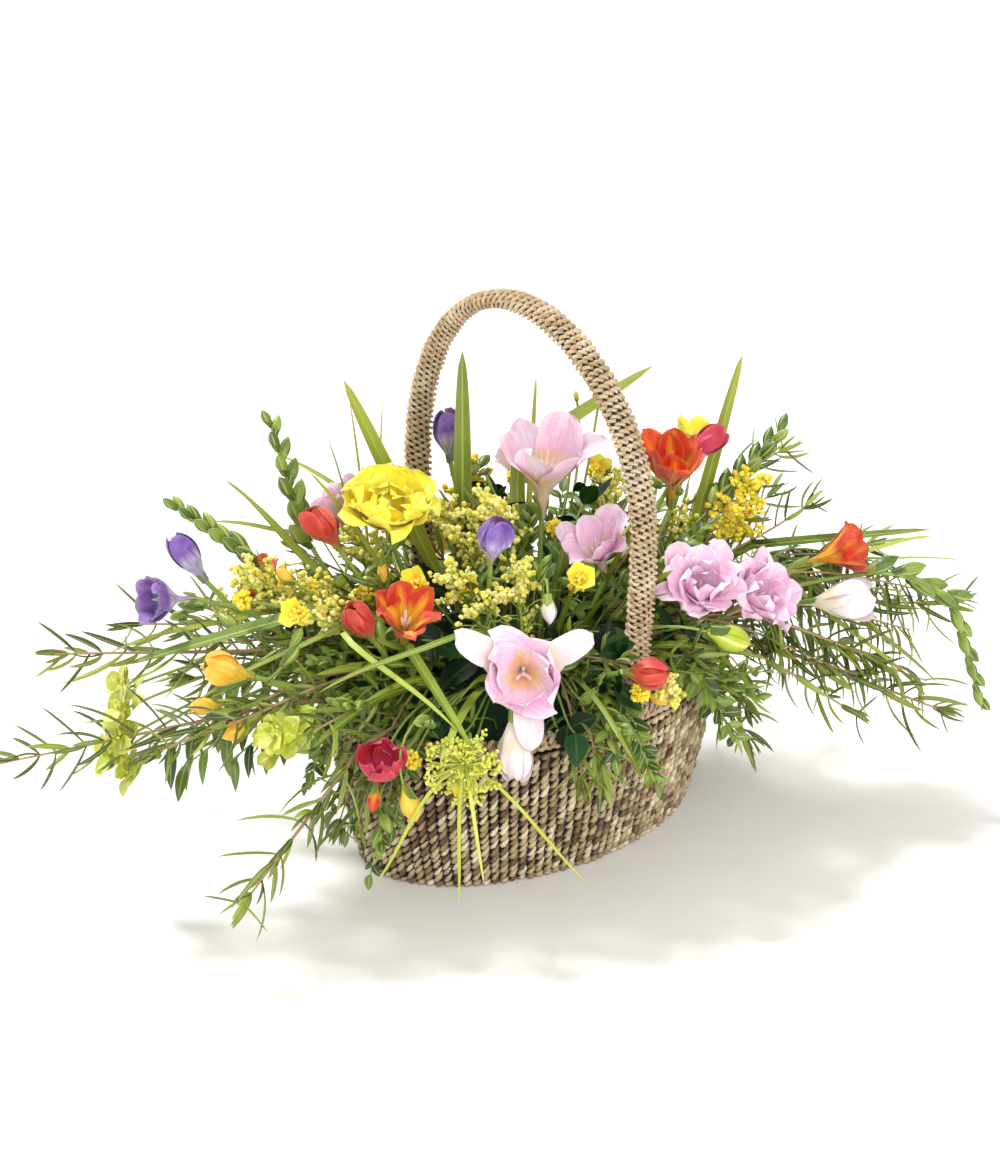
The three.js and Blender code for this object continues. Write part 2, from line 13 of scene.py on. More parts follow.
import bpy
import numpy as np
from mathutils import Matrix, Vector


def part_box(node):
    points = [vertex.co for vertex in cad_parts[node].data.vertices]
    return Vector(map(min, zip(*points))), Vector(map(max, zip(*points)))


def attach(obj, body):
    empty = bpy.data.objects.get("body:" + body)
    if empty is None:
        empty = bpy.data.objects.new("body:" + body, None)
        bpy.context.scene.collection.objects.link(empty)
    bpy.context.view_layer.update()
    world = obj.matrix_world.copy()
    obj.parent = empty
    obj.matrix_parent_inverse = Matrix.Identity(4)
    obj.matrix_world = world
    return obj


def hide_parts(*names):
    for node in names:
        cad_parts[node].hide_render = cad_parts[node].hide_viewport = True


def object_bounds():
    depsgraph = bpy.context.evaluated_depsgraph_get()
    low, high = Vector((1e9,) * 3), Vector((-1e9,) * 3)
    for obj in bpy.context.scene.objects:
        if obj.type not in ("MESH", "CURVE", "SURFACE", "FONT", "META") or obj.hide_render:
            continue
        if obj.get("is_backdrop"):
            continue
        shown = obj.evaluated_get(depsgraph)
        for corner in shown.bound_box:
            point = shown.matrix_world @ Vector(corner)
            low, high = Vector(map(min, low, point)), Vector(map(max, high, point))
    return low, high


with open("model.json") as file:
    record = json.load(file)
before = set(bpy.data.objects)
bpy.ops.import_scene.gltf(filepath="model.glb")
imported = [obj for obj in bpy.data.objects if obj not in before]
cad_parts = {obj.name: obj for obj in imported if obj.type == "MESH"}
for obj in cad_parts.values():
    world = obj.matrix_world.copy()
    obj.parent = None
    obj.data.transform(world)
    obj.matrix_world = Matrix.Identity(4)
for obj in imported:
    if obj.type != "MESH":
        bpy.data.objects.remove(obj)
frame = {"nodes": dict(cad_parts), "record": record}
cad_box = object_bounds()

MM = 0.001
ROOT = "root"
UP = np.array([0.0, 0.0, 1.0])
EAST = np.array([1.0, 0.0, 0.0])
FULL_TURN = 2 * math.pi
PAIR_TURN = 1.57  # from one pair of leaves to the next
SPIRAL_TURN = 2.4  # from one leaf or floret to the next round a stem
GOLDEN_TURN = 2.39996  # spreads places evenly over a disc or a dome
rng = random.Random(11)


# ---- Small geometry ----


def unit(v):
    length = np.linalg.norm(v, axis=-1, keepdims=True)
    return v / np.maximum(length, 1e-12)


def mm(*xyz):
    return np.array(xyz, float) * MM


def smooth(low, high, x):
    """0 below low, 1 above high, and an even ramp between them."""
    t = np.clip((np.asarray(x, float) - low) / (high - low), 0, 1)
    return t * t * (3 - 2 * t)


def square_to(axis, near=UP):
    """A direction square to axis, as close to `near` as there is."""
    if abs(np.dot(axis, near)) > 0.98:
        near = np.array([0.8, -0.6, 0.0])
    return unit(near - axis * np.dot(axis, near))


def turned(v, axis, angle):
    """v turned about a unit axis."""
    c, s = math.cos(angle), math.sin(angle)
    return v * c + np.cross(axis, v) * s + axis * np.dot(axis, v) * (1 - c)


def spoke_of(axis, angle, near=UP):
    """A direction square to axis, turned about it from the one closest to `near`."""
    return turned(square_to(axis, near), axis, angle)


def outward_from(point, rise=0.0):
    """The way from the middle of the basket out to a point, level but for a rise in metres."""
    return unit(point * (1, 1, 0) + UP * rise)


def alternate(i):
    return 1 if i % 2 else -1


def jitter(amount):
    return rng.uniform(-amount, amount)


def any_direction():
    z = rng.uniform(-1, 1)
    angle = rng.uniform(0, FULL_TURN)
    flat = math.sqrt(1 - z * z)
    return np.array([flat * math.cos(angle), flat * math.sin(angle), z])


def lattice(rows, columns):
    """Places on a sheet: 0 to 1 along it, as a column, and -1 to 1 across it."""
    return np.linspace(0, 1, rows)[:, None], np.linspace(-1, 1, columns)


def around(axis, spoke, out, angle):
    """Parts of a sheet that stand off an axis, turned about it from a spoke."""
    return (spoke, out * np.cos(angle)), (np.cross(axis, spoke), out * np.sin(angle))


def sheet(base, *parts):
    """Points at base plus each direction times how far it is followed at every place."""
    return base + sum(way * amount[..., None] for way, amount in parts)


def bulge(s, fullest):
    """0 at both ends of a leaf or bud and 1 at its fullest place."""
    return np.sin(math.pi * s ** (math.log(0.5) / math.log(fullest)))


class Line:
    """A smooth line through points, measured by its length."""

    def __init__(self, points):
        self.points = np.asarray(points, float)
        steps = np.linalg.norm(np.diff(self.points, axis=0), axis=1)
        self.at = np.concatenate([[0], np.cumsum(steps)])
        self.length = self.at[-1]
        self.slopes = np.gradient(self.points, self.at, axis=0)

    def _span(self, distance):
        d = np.clip(np.asarray(distance, float), 0, self.length)
        i = np.clip(np.searchsorted(self.at, d, side="right") - 1, 0, len(self.at) - 2)
        width = self.at[i + 1] - self.at[i]
        return i, width[..., None], ((d - self.at[i]) / width)[..., None]

    def point(self, distance):
        i, w, t = self._span(distance)
        a, b = self.points[i], self.points[i + 1]
        m, n = self.slopes[i] * w, self.slopes[i + 1] * w
        return (
            a * (2 * t**3 - 3 * t**2 + 1)
            + m * (t**3 - 2 * t**2 + t)
            + b * (3 * t**2 - 2 * t**3)
            + n * (t**3 - t**2)
        )

    def tangent(self, distance):
        i, w, t = self._span(distance)
        a, b = self.points[i], self.points[i + 1]
        m, n = self.slopes[i] * w, self.slopes[i + 1] * w
        slope = (b - a) * (6 * t - 6 * t**2) + m * (3 * t**2 - 4 * t + 1) + n * (3 * t**2 - 2 * t)
        return unit(slope)

    def at_share(self, share):
        """The point and the tangent at a share of the length."""
        return self.point(share * self.length), self.tangent(share * self.length)

    def upper(self, start, steps):
        """The part from a share of the length to the end."""
        return Line(self.point(np.linspace(start, 1, steps) * self.length))


def arc_line(start, set_off, end, arrive=None, steps=9, pull=0.4):
    """A line that leaves start along set_off and reaches end, along arrive if that is given."""
    reach = np.linalg.norm(end - start)
    a = start + unit(set_off) * reach * pull
    b = end - unit(arrive) * reach * pull if arrive is not None else end - (end - a) * 0.3
    t = np.linspace(0, 1, steps)[:, None]
    curve = start * (1 - t) ** 3 + 3 * a * t * (1 - t) ** 2 + 3 * b * t**2 * (1 - t) + end * t**3
    return Line(curve)


# ---- Pieces ----

MIDDLE_TINT = 0.5


class Piece:
    """One visible piece in the making: points, faces, and what each point carries.

    Every surface has texture coordinates, u across and v along it, and a tint from 0 to 1 that
    makes one petal or leaf a little different from the next. All stalks share the middle tint.
    """

    def __init__(self, name, *materials):
        self.name = name
        self.materials = materials
        self.points, self.coords, self.tints = [], [], []
        self.faces, self.slots = [], []
        self.count = 0

    def add(self, points, faces, coords, tint, material):
        self.points.append(points.reshape(-1, 3))
        self.coords.append(coords.reshape(-1, 2))
        self.tints.append(np.full(len(self.points[-1]), tint))
        self.faces.append(faces + self.count)
        self.slots.append(np.full(len(faces), self.materials.index(material)))
        self.count += len(self.points[-1])

    def grid(self, points, tint, material, wrap=False):
        """Joins rows of points (rows, columns, 3) by quads, round to the first column on wrap."""
        rows, cols = points.shape[:2]
        index = np.arange(rows * cols).reshape(rows, cols)
        if wrap:
            index = np.concatenate([index, index[:, :1]], axis=1)
        quads = [index[:-1, :-1], index[:-1, 1:], index[1:, 1:], index[1:, :-1]]
        faces = np.stack(quads, axis=-1).reshape(-1, 4)
        u, v = np.meshgrid(np.linspace(0, 1, cols), np.linspace(0, 1, rows))
        self.add(points, faces, np.stack([u, v], -1), tint, material)

    def shell(self, middle, thick, tint, material):
        """A thin leaf or petal round a middle sheet: two faces that meet at a sharp edge."""
        normal = unit(np.cross(np.gradient(middle, axis=1), np.gradient(middle, axis=0)))
        v, u = lattice(*middle.shape[:2])
        body = np.sqrt(1 - u**2) * np.minimum(1, 4 * (1 - v))
        offset = normal * (body * thick / 2)[..., None]
        self.grid(middle + offset, tint, material)
        self.grid((middle - offset)[:, ::-1], tint, material)

    def tube(self, line, radii, rings, sides, material, near=UP, flat=1.0):
        """A round or flattened stalk along a line; radii are spread evenly over its length."""
        share = np.linspace(0, 1, rings)
        middle, tangent = line.at_share(share)
        radius = np.interp(share, np.linspace(0, 1, len(radii)), radii)
        side = np.array([np.cross(t, square_to(t, near)) for t in tangent])
        normal = np.cross(side, tangent)
        turn = np.arange(sides) / sides * FULL_TURN
        ring = side[:, None] * np.sin(turn)[:, None] + normal[:, None] * (flat * np.cos(turn))[:, None]
        points = middle[:, None] + ring * radius[:, None, None]
        self.grid(points[:, ::-1], MIDDLE_TINT, material, wrap=True)

    def stalk(self, line, radii, rings=12, sides=5, material="stem"):
        """A round stalk along a line, with its radii in millimetres."""
        self.tube(line, np.array(radii) * MM, rings, sides, material)

    def stand_for(self, node):
        """Makes the piece that takes a CAD node's place."""
        parts = frame["record"]["subparts"]
        self.make(next(part["material_slot"] for part in parts if part["node"] == node), node)

    def make(self, slot, *nodes):
        """Turns the piece into a Blender object that stands for the given CAD nodes."""
        mesh = bpy.data.meshes.new(self.name)
        points = np.concatenate(self.points)
        faces = np.concatenate(self.faces)
        mesh.vertices.add(len(points))
        mesh.vertices.foreach_set("co", points.ravel())
        mesh.loops.add(faces.size)
        mesh.loops.foreach_set("vertex_index", faces.ravel())
        mesh.polygons.add(len(faces))
        mesh.polygons.foreach_set("loop_start", np.arange(len(faces)) * faces.shape[1])
        mesh.polygons.foreach_set("material_index", np.concatenate(self.slots))
        mesh.update(calc_edges=True)
        mesh.shade_smooth()
        layer = mesh.uv_layers.new(name="UVMap")
        layer.data.foreach_set("uv", np.concatenate(self.coords)[faces.ravel()].ravel())
        tint = mesh.attributes.new("tint", "FLOAT", "POINT")
        tint.data.foreach_set("value", np.concatenate(self.tints))
        for name in self.materials:
            mesh.materials.append(MATERIALS[name])
        piece = put_in_scene(self.name, mesh)
        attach(piece, ROOT)
        if nodes:
            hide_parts(*nodes)


def put_in_scene(name, data):
    made = bpy.data.objects.new(name, data)
    bpy.context.scene.collection.objects.link(made)
    return made


# ---- Materials ----


def srgb(hexadecimal):
    """A linear colour from a six-digit sRGB one."""
    parts = [int(hexadecimal[i : i + 2], 16) / 255 for i in (0, 2, 4)]
    linear = [c / 12.92 if c <= 0.04045 else ((c + 0.055) / 1.055) ** 2.4 for c in parts]
    return (*linear, 1.0)


class Shader:
    """Short calls that build one material's nodes."""

    def __init__(self, name, roughness=0.5, **constants):
        self.material = bpy.data.materials.new(name)
        self.material.use_nodes = True
        self.tree = self.material.node_tree
        self.surface = self.tree.nodes["Principled BSDF"]
        self.surface.inputs["Roughness"].default_value = roughness
        for socket, value in constants.items():
            self.surface.inputs[socket.replace("_", " ")].default_value = value

    def node(self, kind, **inputs):
        made = self.tree.nodes.new(kind)
        for socket, value in inputs.items():
            self.put(made.inputs[socket.replace("_", " ")], value)
        return made

    def put(self, socket, value):
        if isinstance(value, bpy.types.NodeSocket):
            self.tree.links.new(value, socket)
        else:
            socket.default_value = value

    def tint(self):
        made = self.tree.nodes.new("ShaderNodeAttribute")
        made.attribute_name = "tint"
        return made.outputs["Fac"]

    def uv(self, u_scale=1.0, v_scale=1.0):
        place = self.tree.nodes.new("ShaderNodeTexCoord").outputs["UV"]
        return self.node("ShaderNodeMapping", Vector=place, Scale=(u_scale, v_scale, 1)).outputs[0]

    def space(self, scale=(1, 1, 1)):
        place = self.tree.nodes.new("ShaderNodeTexCoord").outputs["Object"]
        return self.node("ShaderNodeMapping", Vector=place, Scale=scale).outputs[0]

    def across(self):
        """0 along the middle of a leaf or petal, 1 at its edges."""
        u = self.node("ShaderNodeSeparateXYZ", Vector=self.uv()).outputs["X"]
        return self.math("ABSOLUTE", self.math("MULTIPLY_ADD", u, 2.0, -1.0))

    def along(self):
        return self.node("ShaderNodeSeparateXYZ", Vector=self.uv()).outputs["Y"]

    def math(self, operation, *values):
        made = self.tree.nodes.new("ShaderNodeMath")
        made.operation = operation
        for socket, value in zip(made.inputs, values):
            self.put(socket, value)
        return made.outputs[0]

    def noise(self, vector, scale, detail=3.0, roughness=0.55):
        made = self.node("ShaderNodeTexNoise", Vector=vector, Scale=scale, Detail=detail)
        made.inputs["Roughness"].default_value = roughness
        return made.outputs["Fac"]

    def ramp(self, factor, *stops):
        """Colours from (place, colour) stops."""
        made = self.tree.nodes.new("ShaderNodeValToRGB")
        elements = made.color_ramp.elements
        while len(elements) < len(stops):
            elements.new(0.5)
        for element, (place, colour) in zip(elements, stops):
            element.position = place
            element.color = colour if isinstance(colour, tuple) else (colour, colour, colour, 1)
        self.put(made.inputs[0], factor)
        return made.outputs["Color"]

    def mix(self, factor, first, second, mode="MIX"):
        made = self.tree.nodes.new("ShaderNodeMix")
        made.data_type = "RGBA"
        made.blend_type = mode
        for socket, value in zip((0, 6, 7), (factor, first, second)):
            self.put(made.inputs[socket], value)
        return made.outputs[2]

    def bump(self, height, distance, strength=1.0):
        made = self.node("ShaderNodeBump", Height=height, Distance=distance, Strength=strength)
        self.put(self.surface.inputs["Normal"], made.outputs[0])

    def colour(self, value):
        self.put(self.surface.inputs["Base Color"], value)
        return self.material


def petal_material(name, tube, throat, body, edge, vein, glow, streak=0.0):
    """A freesia petal: a throat of its own colour, which may run on as a streak, veins, a pale edge that is
    a painted highlight, and patches of painted glow.
    """
    s = Shader(name, roughness=0.48, Subsurface_Weight=0.22, Subsurface_Scale=0.003, Sheen_Weight=0.15)
    s.surface.inputs["Subsurface Radius"].default_value = (1.0, 0.6, 0.5)
    stops = ((0.12, tube), (0.3, throat), (0.45, throat), (0.6, body), (0.86, body), (1.0, edge))
    length = s.ramp(s.along(), *[(place, srgb(colour)) for place, colour in stops])
    # Painted highlight: the rims of the petal's limb are mixed towards the pale edge colour.
    rim = s.ramp(s.across(), (0.66, 0.0), (1.0, 0.75))
    limb = s.ramp(s.along(), (0.4, 0.0), (0.6, 1.0))
    with_painted_edge_highlight = s.mix(s.math("MULTIPLY", rim, limb), length, srgb(edge))
    lines = s.noise(s.uv(26, 1.6), 1.0, detail=4.0)
    veined = s.mix(s.ramp(lines, (0.4, 0.6), (0.6, 0.0)), with_painted_edge_highlight, srgb(vein))
    # Painted glow: patches of the petal are mixed towards a lighter glow colour, as if lit through.
    painted_glow_patches = s.ramp(s.noise(s.space(), 90.0, detail=4.0), (0.38, 0.0), (0.72, 0.6))
    lit = s.mix(painted_glow_patches, veined, srgb(glow))
    if streak:
        middle = s.ramp(s.across(), (0.08, streak), (0.38, 0.0))
        fading = s.ramp(s.along(), (0.62, 1.0), (0.94, 0.0))
        ragged = s.ramp(lines, (0.35, 0.3), (0.6, 1.0))
        strength = s.math("MULTIPLY", s.math("MULTIPLY", middle, fading), ragged)
        lit = s.mix(strength, lit, srgb(throat))
    petal = s.mix(s.ramp(s.tint(), (0.0, 0.2), (1.0, 0.0)), lit, srgb(vein), mode="MULTIPLY")
    s.bump(lines, 0.0004, 0.7)
    return s.colour(petal)


def leaf_material(name, deep, fresh, rib, roughness=0.42, ribs=1.0, spots=60.0, coat=0.12, gloss=0.5):
    """A waxy leaf: a pale rib down the middle, fine parallel veins and uneven green."""
    s = Shader(name, roughness=roughness, Subsurface_Weight=0.12, Subsurface_Scale=0.002)
    s.surface.inputs["Coat Weight"].default_value = coat
    s.surface.inputs["Specular IOR Level"].default_value = gloss
    patch = s.mix(0.62, s.noise(s.space(), spots, detail=4.0), s.tint())
    green = s.ramp(patch, (0.26, srgb(deep)), (0.72, srgb(fresh)))
    middle = s.ramp(s.across(), (0.0, ribs), (0.16, 0.0))
    ribbed = s.mix(middle, green, srgb(rib))
    veins = s.noise(s.uv(18, 0.8), 1.0, detail=3.0)
    veined = s.mix(s.ramp(veins, (0.4, 0.35), (0.6, 0.0)), ribbed, srgb(deep))
    s.bump(veins, 0.0003, 0.6)
    return s.colour(veined)


def grain_material(name, dark, light, tip, scale=700.0, roughness=0.7):
    """Powdery florets: each one mottled, and each a little different by its tint."""
    s = Shader(name, roughness=roughness, Subsurface_Weight=0.15, Subsurface_Scale=0.002)
    grain = s.noise(s.space(), scale, detail=5.0)
    base = s.ramp(grain, (0.35, srgb(dark)), (0.6, srgb(light)))
    varied = s.mix(s.ramp(s.tint(), (0.2, 0.0), (1.0, 0.7)), base, srgb(tip))
    s.bump(grain, 0.0005, 0.8)
    return s.colour(varied)


def stem_material(name, low, high, streak):
    """A cut stem: streaked along its length and warmer towards its foot."""
    s = Shader(name, roughness=0.5, Subsurface_Weight=0.08, Subsurface_Scale=0.002)
    streaks = s.noise(s.uv(5, 9), 1.0, detail=4.0)
    base = s.ramp(s.along(), (0.1, srgb(low)), (0.7, srgb(high)))
    s.bump(streaks, 0.0003, 0.6)
    return s.colour(s.mix(s.ramp(streaks, (0.45, 0.0), (0.7, 0.6)), base, srgb(streak)))


def seagrass_material(name, turns, palette, lump_share=0.28):
    """Dried seagrass cord: straw, tan and green lengths, fibres along it, painted shade in the creases
    between them and painted highlights on them.

    lump_share is how much of the colour each lump has to itself.
    """
    s = Shader(name, roughness=0.72, Sheen_Weight=0.12)
    patches = s.noise(s.space(), 55.0, detail=6.0, roughness=0.75)
    length = s.mix(lump_share, patches, s.tint())
    dry = s.ramp(length, *[(place, srgb(colour)) for place, colour in palette])
    fibre = s.noise(s.uv(7, turns), 1.0, detail=5.0, roughness=0.7)
    # Painted shade: the straw is darkened where the fibre bumps are low, in the creases.
    fine = s.mix(s.ramp(fibre, (0.36, 0.8), (0.5, 0.0)), dry, srgb("5c4028"), mode="MULTIPLY")
    # Painted highlight: the straw is lightened where the fibre bumps are high.
    pale = s.mix(s.ramp(fibre, (0.56, 0.0), (0.76, 0.7)), fine, srgb("fff4da"))
    s.bump(fibre, 0.0006, 0.9)
    return s.colour(pale)


def foam_material():
    """Wet floral foam: fine open pores."""
    s = Shader("floral_foam", roughness=0.9)
    pores = s.noise(s.space(), 1500.0, detail=2.0)
    lumps = s.noise(s.space(), 120.0, detail=4.0)
    base = s.ramp(lumps, (0.3, srgb("12301a")), (0.7, srgb("24512c")))
    s.bump(pores, 0.0008, 1.0)
    return s.colour(s.mix(s.ramp(pores, (0.4, 0.7), (0.6, 0.0)), base, srgb("081a0c")))


def liner_material():
    """Thin dark green plastic, a little scuffed."""
    s = Shader("plastic_liner", roughness=0.38)
    scuffs = s.noise(s.space(), 260.0, detail=6.0)
    s.put(s.surface.inputs["Roughness"], s.ramp(scuffs, (0.3, 0.28), (0.7, 0.6)))
    s.bump(scuffs, 0.0003, 0.4)
    return s.colour(s.ramp(scuffs, (0.3, srgb("0c120d")), (0.75, srgb("1d281e"))))


def wire_material():
    """Drawn steel wire with faint lines and a trace of rust."""
    s = Shader("handle_wire", roughness=0.42, Metallic=0.9)
    lines = s.noise(s.space((40, 40, 4)), 60.0, detail=4.0)
    s.bump(lines, 0.0002, 0.4)
    return s.colour(s.ramp(lines, (0.35, srgb("6e6a64")), (0.7, srgb("8f7d68"))))


# The edge colour is a painted highlight on the rims, and the glow colour is painted glow.
PETALS = {  # tube, throat, body, edge, vein, glow
    "pink": ("dcd068", "f4cc30", "fccfe6", "fff8fb", "e89fd0", "fffafd"),
    "ruffled_pink": ("c8bc60", "ea8ccc", "ffd0ea", "fffcfe", "ea9cd2", "fffafd"),
    "blush": ("c4c060", "e8dc98", "f9e2f1", "fffafd", "deaad6", "fff8fc"),
    "pale_pink": ("bcbc6c", "efe6ac", "fcf0f3", "fffafb", "ecc8da", "fff9fb"),
    "yellow": ("f2b010", "fcb80a", "fff41c", "fffa50", "fde00a", "fffb68"),
    "red": ("eab434", "fcbc24", "e4200a", "ee3a16", "a00e0a", "f65228"),
    "scarlet": ("c8902c", "dc4820", "d8200f", "ee4a34", "8c0a10", "f4624a"),
    "crimson": ("a8142c", "f0447c", "c80a2a", "e02a48", "7c0618", "ee4a6c"),
    "orange": ("f0bc2c", "ffd42a", "d62006", "e0380e", "981208", "ea4a1a"),
    "purple": ("d8cce2", "e4daee", "6c42a2", "9064bc", "3a1c70", "aa86d2"),
    "amber": ("d0c828", "f0cc1c", "fcbc10", "ffdc3c", "ea960c", "ffe66a"),
}

STREAKS = {"orange": 0.85, "red": 0.6, "yellow": 0.4}

LEAVES = {  # deep, fresh, rib
    "blade": ("5c7620", "98aa38", "bcc858"),
    "grass": ("788c2c", "aebe48", "d0da78"),
    "needle": ("3a5418", "a0b244", "c8d27c"),
    "box_leaf": ("284a14", "88a83a", "bccb66"),
    "broad_leaf": ("22401a", "6c9036", "a0b860"),
    "lime_leaf": ("b0bd34", "dde06a", "f0f09a"),
    "bud_green": ("4c6822", "98ac46", "c2cc78"),
}

IVY = ("061a08", "1c4a18", "3c6c2c")
STRAW = ((0.22, "5a3e24"), (0.35, "a0825c"), (0.47, "d2b88e"), (0.6, "b6a074"), (0.74, "f2e2be"))
HANDLE_STRAW = ((0.24, "8c6842"), (0.38, "c8a478"), (0.5, "ebd2ac"), (0.62, "ccb48a"), (0.76, "fcf0d8"))
# Painted shade: a dark copy of the straw, for the stakes behind the weave and the core under the handle's
# cord, which lie in shade.
SHADED_STRAW = ((0.3, "140d07"), (0.45, "20160d"), (0.55, "2c2014"), (0.65, "382a1a"), (0.75, "443422"))

MATERIALS = {
    **{name: petal_material(name, *colours, STREAKS.get(name, 0.0)) for name, colours in PETALS.items()},
    **{name: leaf_material(name, *colours) for name, colours in LEAVES.items()},
    "ivy_leaf": leaf_material("ivy_leaf", *IVY, roughness=0.5, ribs=0.6, coat=0.0, gloss=0.22),
    "goldenrod": grain_material("goldenrod", "b4aa2c", "ece258", "fbf6ae"),
    "deep_goldenrod": grain_material("deep_goldenrod", "b8a418", "f2d820", "fcf064"),
    "button": grain_material("button", "e6ba08", "ffe41c", "fff47c", scale=500.0),
    "dill": grain_material("dill", "a8ae2a", "d6d846", "f0ee8a"),
    "anther": grain_material("anther", "cdbf9a", "f6f0dc", "ffffff", scale=900.0),
    "stem": stem_material("stem", "6f7a34", "86a044", "a8b868"),
    "twig": stem_material("twig", "8a6a50", "a3865c", "c4a884"),
    "weave": seagrass_material("weave", 2, STRAW, lump_share=0.55),
    "stake": seagrass_material("stake", 20, SHADED_STRAW),
    "coil": seagrass_material("coil", 120, STRAW),
    "cord": seagrass_material("cord", 900, HANDLE_STRAW),
    "floral_foam": foam_material(),
    "plastic_liner": liner_material(),
    "handle_wire": wire_material(),
}


# ---- Reading the CAD cuttings ----


foam_low, foam_high = map(np.array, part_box("floral_foam"))


def rings_of(node):
    """A cutting's skin as rings of points, from its cut end in the foam to its tip."""
    mesh = frame["nodes"][node].data
    raw = np.array([v.co for v in mesh.vertices], float)
    edges = np.array([e.vertices for e in mesh.edges])
    cells = np.round(raw / (0.02 * MM)).astype(np.int64)
    _, first, index = np.unique(cells, axis=0, return_index=True, return_inverse=True)
    points, edges = raw[first], index.ravel()[edges]
    near = [set() for _ in points]
    for a, b in edges:
        near[a].add(b)
        near[b].add(a)
    nearest = points[np.argmin(np.linalg.norm(points - (foam_low + foam_high) / 2, axis=1))]
    foot = np.flatnonzero(np.linalg.norm(points - nearest, axis=1) < 3 * MM)
    start = foot[np.argmin(np.linalg.norm(points[foot] - points[foot].mean(0), axis=1))]
    rings, ring, seen = [], [start], {start}
    while ring:
        rings.append(points[ring])
        ring = sorted(set().union(*(near[i] for i in ring)) - seen)
        seen.update(ring)
    return rings


class Cutting:
    """What a CAD cutting says: its bare stem, and the line, size and turn of its head."""

    def __init__(self, node, head_rings):
        rings = rings_of(node)
        centres = np.array([ring.mean(0) for ring in rings])
        head = len(rings) - head_rings
        self.base = centres[head - 1]
        self.stem = Line(centres[1:head])
        self.head = Line(centres[head - 1 :])
        self.axis = unit(centres[-1] - self.base)
        spread = [np.linalg.norm(ring - ring.mean(0), axis=1) for ring in rings[head:]]
        fattest = int(np.argmax([s.max() for s in spread]))
        widest = rings[head + fattest]
        self.wide = spread[fattest].max()
        self.side = unit(widest[np.argmax(spread[fattest])] - widest.mean(0))
        self.length = self.head.length

    def draw_stem(self, piece, radius=1.3, material="stem"):
        rings = max(6, int(self.stem.length / (9 * MM)))
        piece.stalk(self.stem, (radius, radius), rings, 7, material)


def start_spray(node, head_rings, suffix, materials, stem_radius, head_radii, rings, stalk="stem"):
    """A cutting and its new piece, with its stem and the middle stalk of its head."""
    cutting = Cutting(node, head_rings)
    piece = Piece(f"{node}.{suffix}", *materials)
    cutting.draw_stem(piece, stem_radius, stalk)
    piece.stalk(cutting.head, head_radii, rings, 6, stalk)
    return cutting, piece


# ---- Freesias ----

# The middle line of a petal: its distances from the flower's axis, in mouth widths, and its
# heights, in flower lengths. The flower is a cup, wide open, half shut, or a bud.
CUP = np.array([(0.07, 0.08, 0.18, 0.42, 0.64, 0.78, 0.86), (0, 0.2, 0.4, 0.58, 0.78, 0.96, 1.1)]).T
OPEN = np.array([(0.07, 0.08, 0.17, 0.4, 0.7, 0.95, 1.12), (0, 0.22, 0.42, 0.6, 0.74, 0.82, 0.8)]).T
TULIP = np.array([(0.07, 0.08, 0.24, 0.56, 0.68, 0.6, 0.42), (0, 0.2, 0.38, 0.54, 0.74, 0.94, 1.06)]).T
SHUT = np.array([(0.1, 0.2, 0.56, 0.88, 0.9, 0.62, 0.24), (0, 0.12, 0.32, 0.54, 0.74, 0.92, 1.02)]).T
PETAL_ROWS = 15
PETAL_COLUMNS = 11
PETAL_THICK = 0.35 * MM
BRACT_THICK = 0.5 * MM

# Shares of a petal's length: where it opens out of the tube, comes loose, and starts to narrow.
LIMB = (0.28, 0.6)
LOOSE = (0.45, 1.0)
TIP_START = 0.62
GROOVE_DEPTH = 0.04
GROOVE_WIDTH = 0.22

# Flower heads that the greenery keeps off: a point in the mouth, the way it faces, its radius.
HEADS = []
CLEAR_AHEAD = 45 * MM


def hides_a_head(point):
    """Whether a point lies in a flower's mouth or in the space just in front of it."""
    for mouth, facing, radius in HEADS:
        ahead = np.clip(np.dot(point - mouth, facing), -0.4 * radius, CLEAR_AHEAD)
        if np.linalg.norm(point - mouth - facing * ahead) < radius:
            return True
    return False


def crosses_a_head(line):
    """Whether the outer part of a stem passes a flower's face."""
    return any(hides_a_head(line.point(line.length * share)) for share in (0.5, 0.65, 0.8, 0.9, 1.0))


def mouth_line(openness):
    """A petal's middle line, from half shut at -1 through a cup at 0 to wide open at 1."""
    if openness < 0:
        return CUP + (TULIP - CUP) * min(1.0, -openness)
    return CUP + (OPEN - CUP) * openness


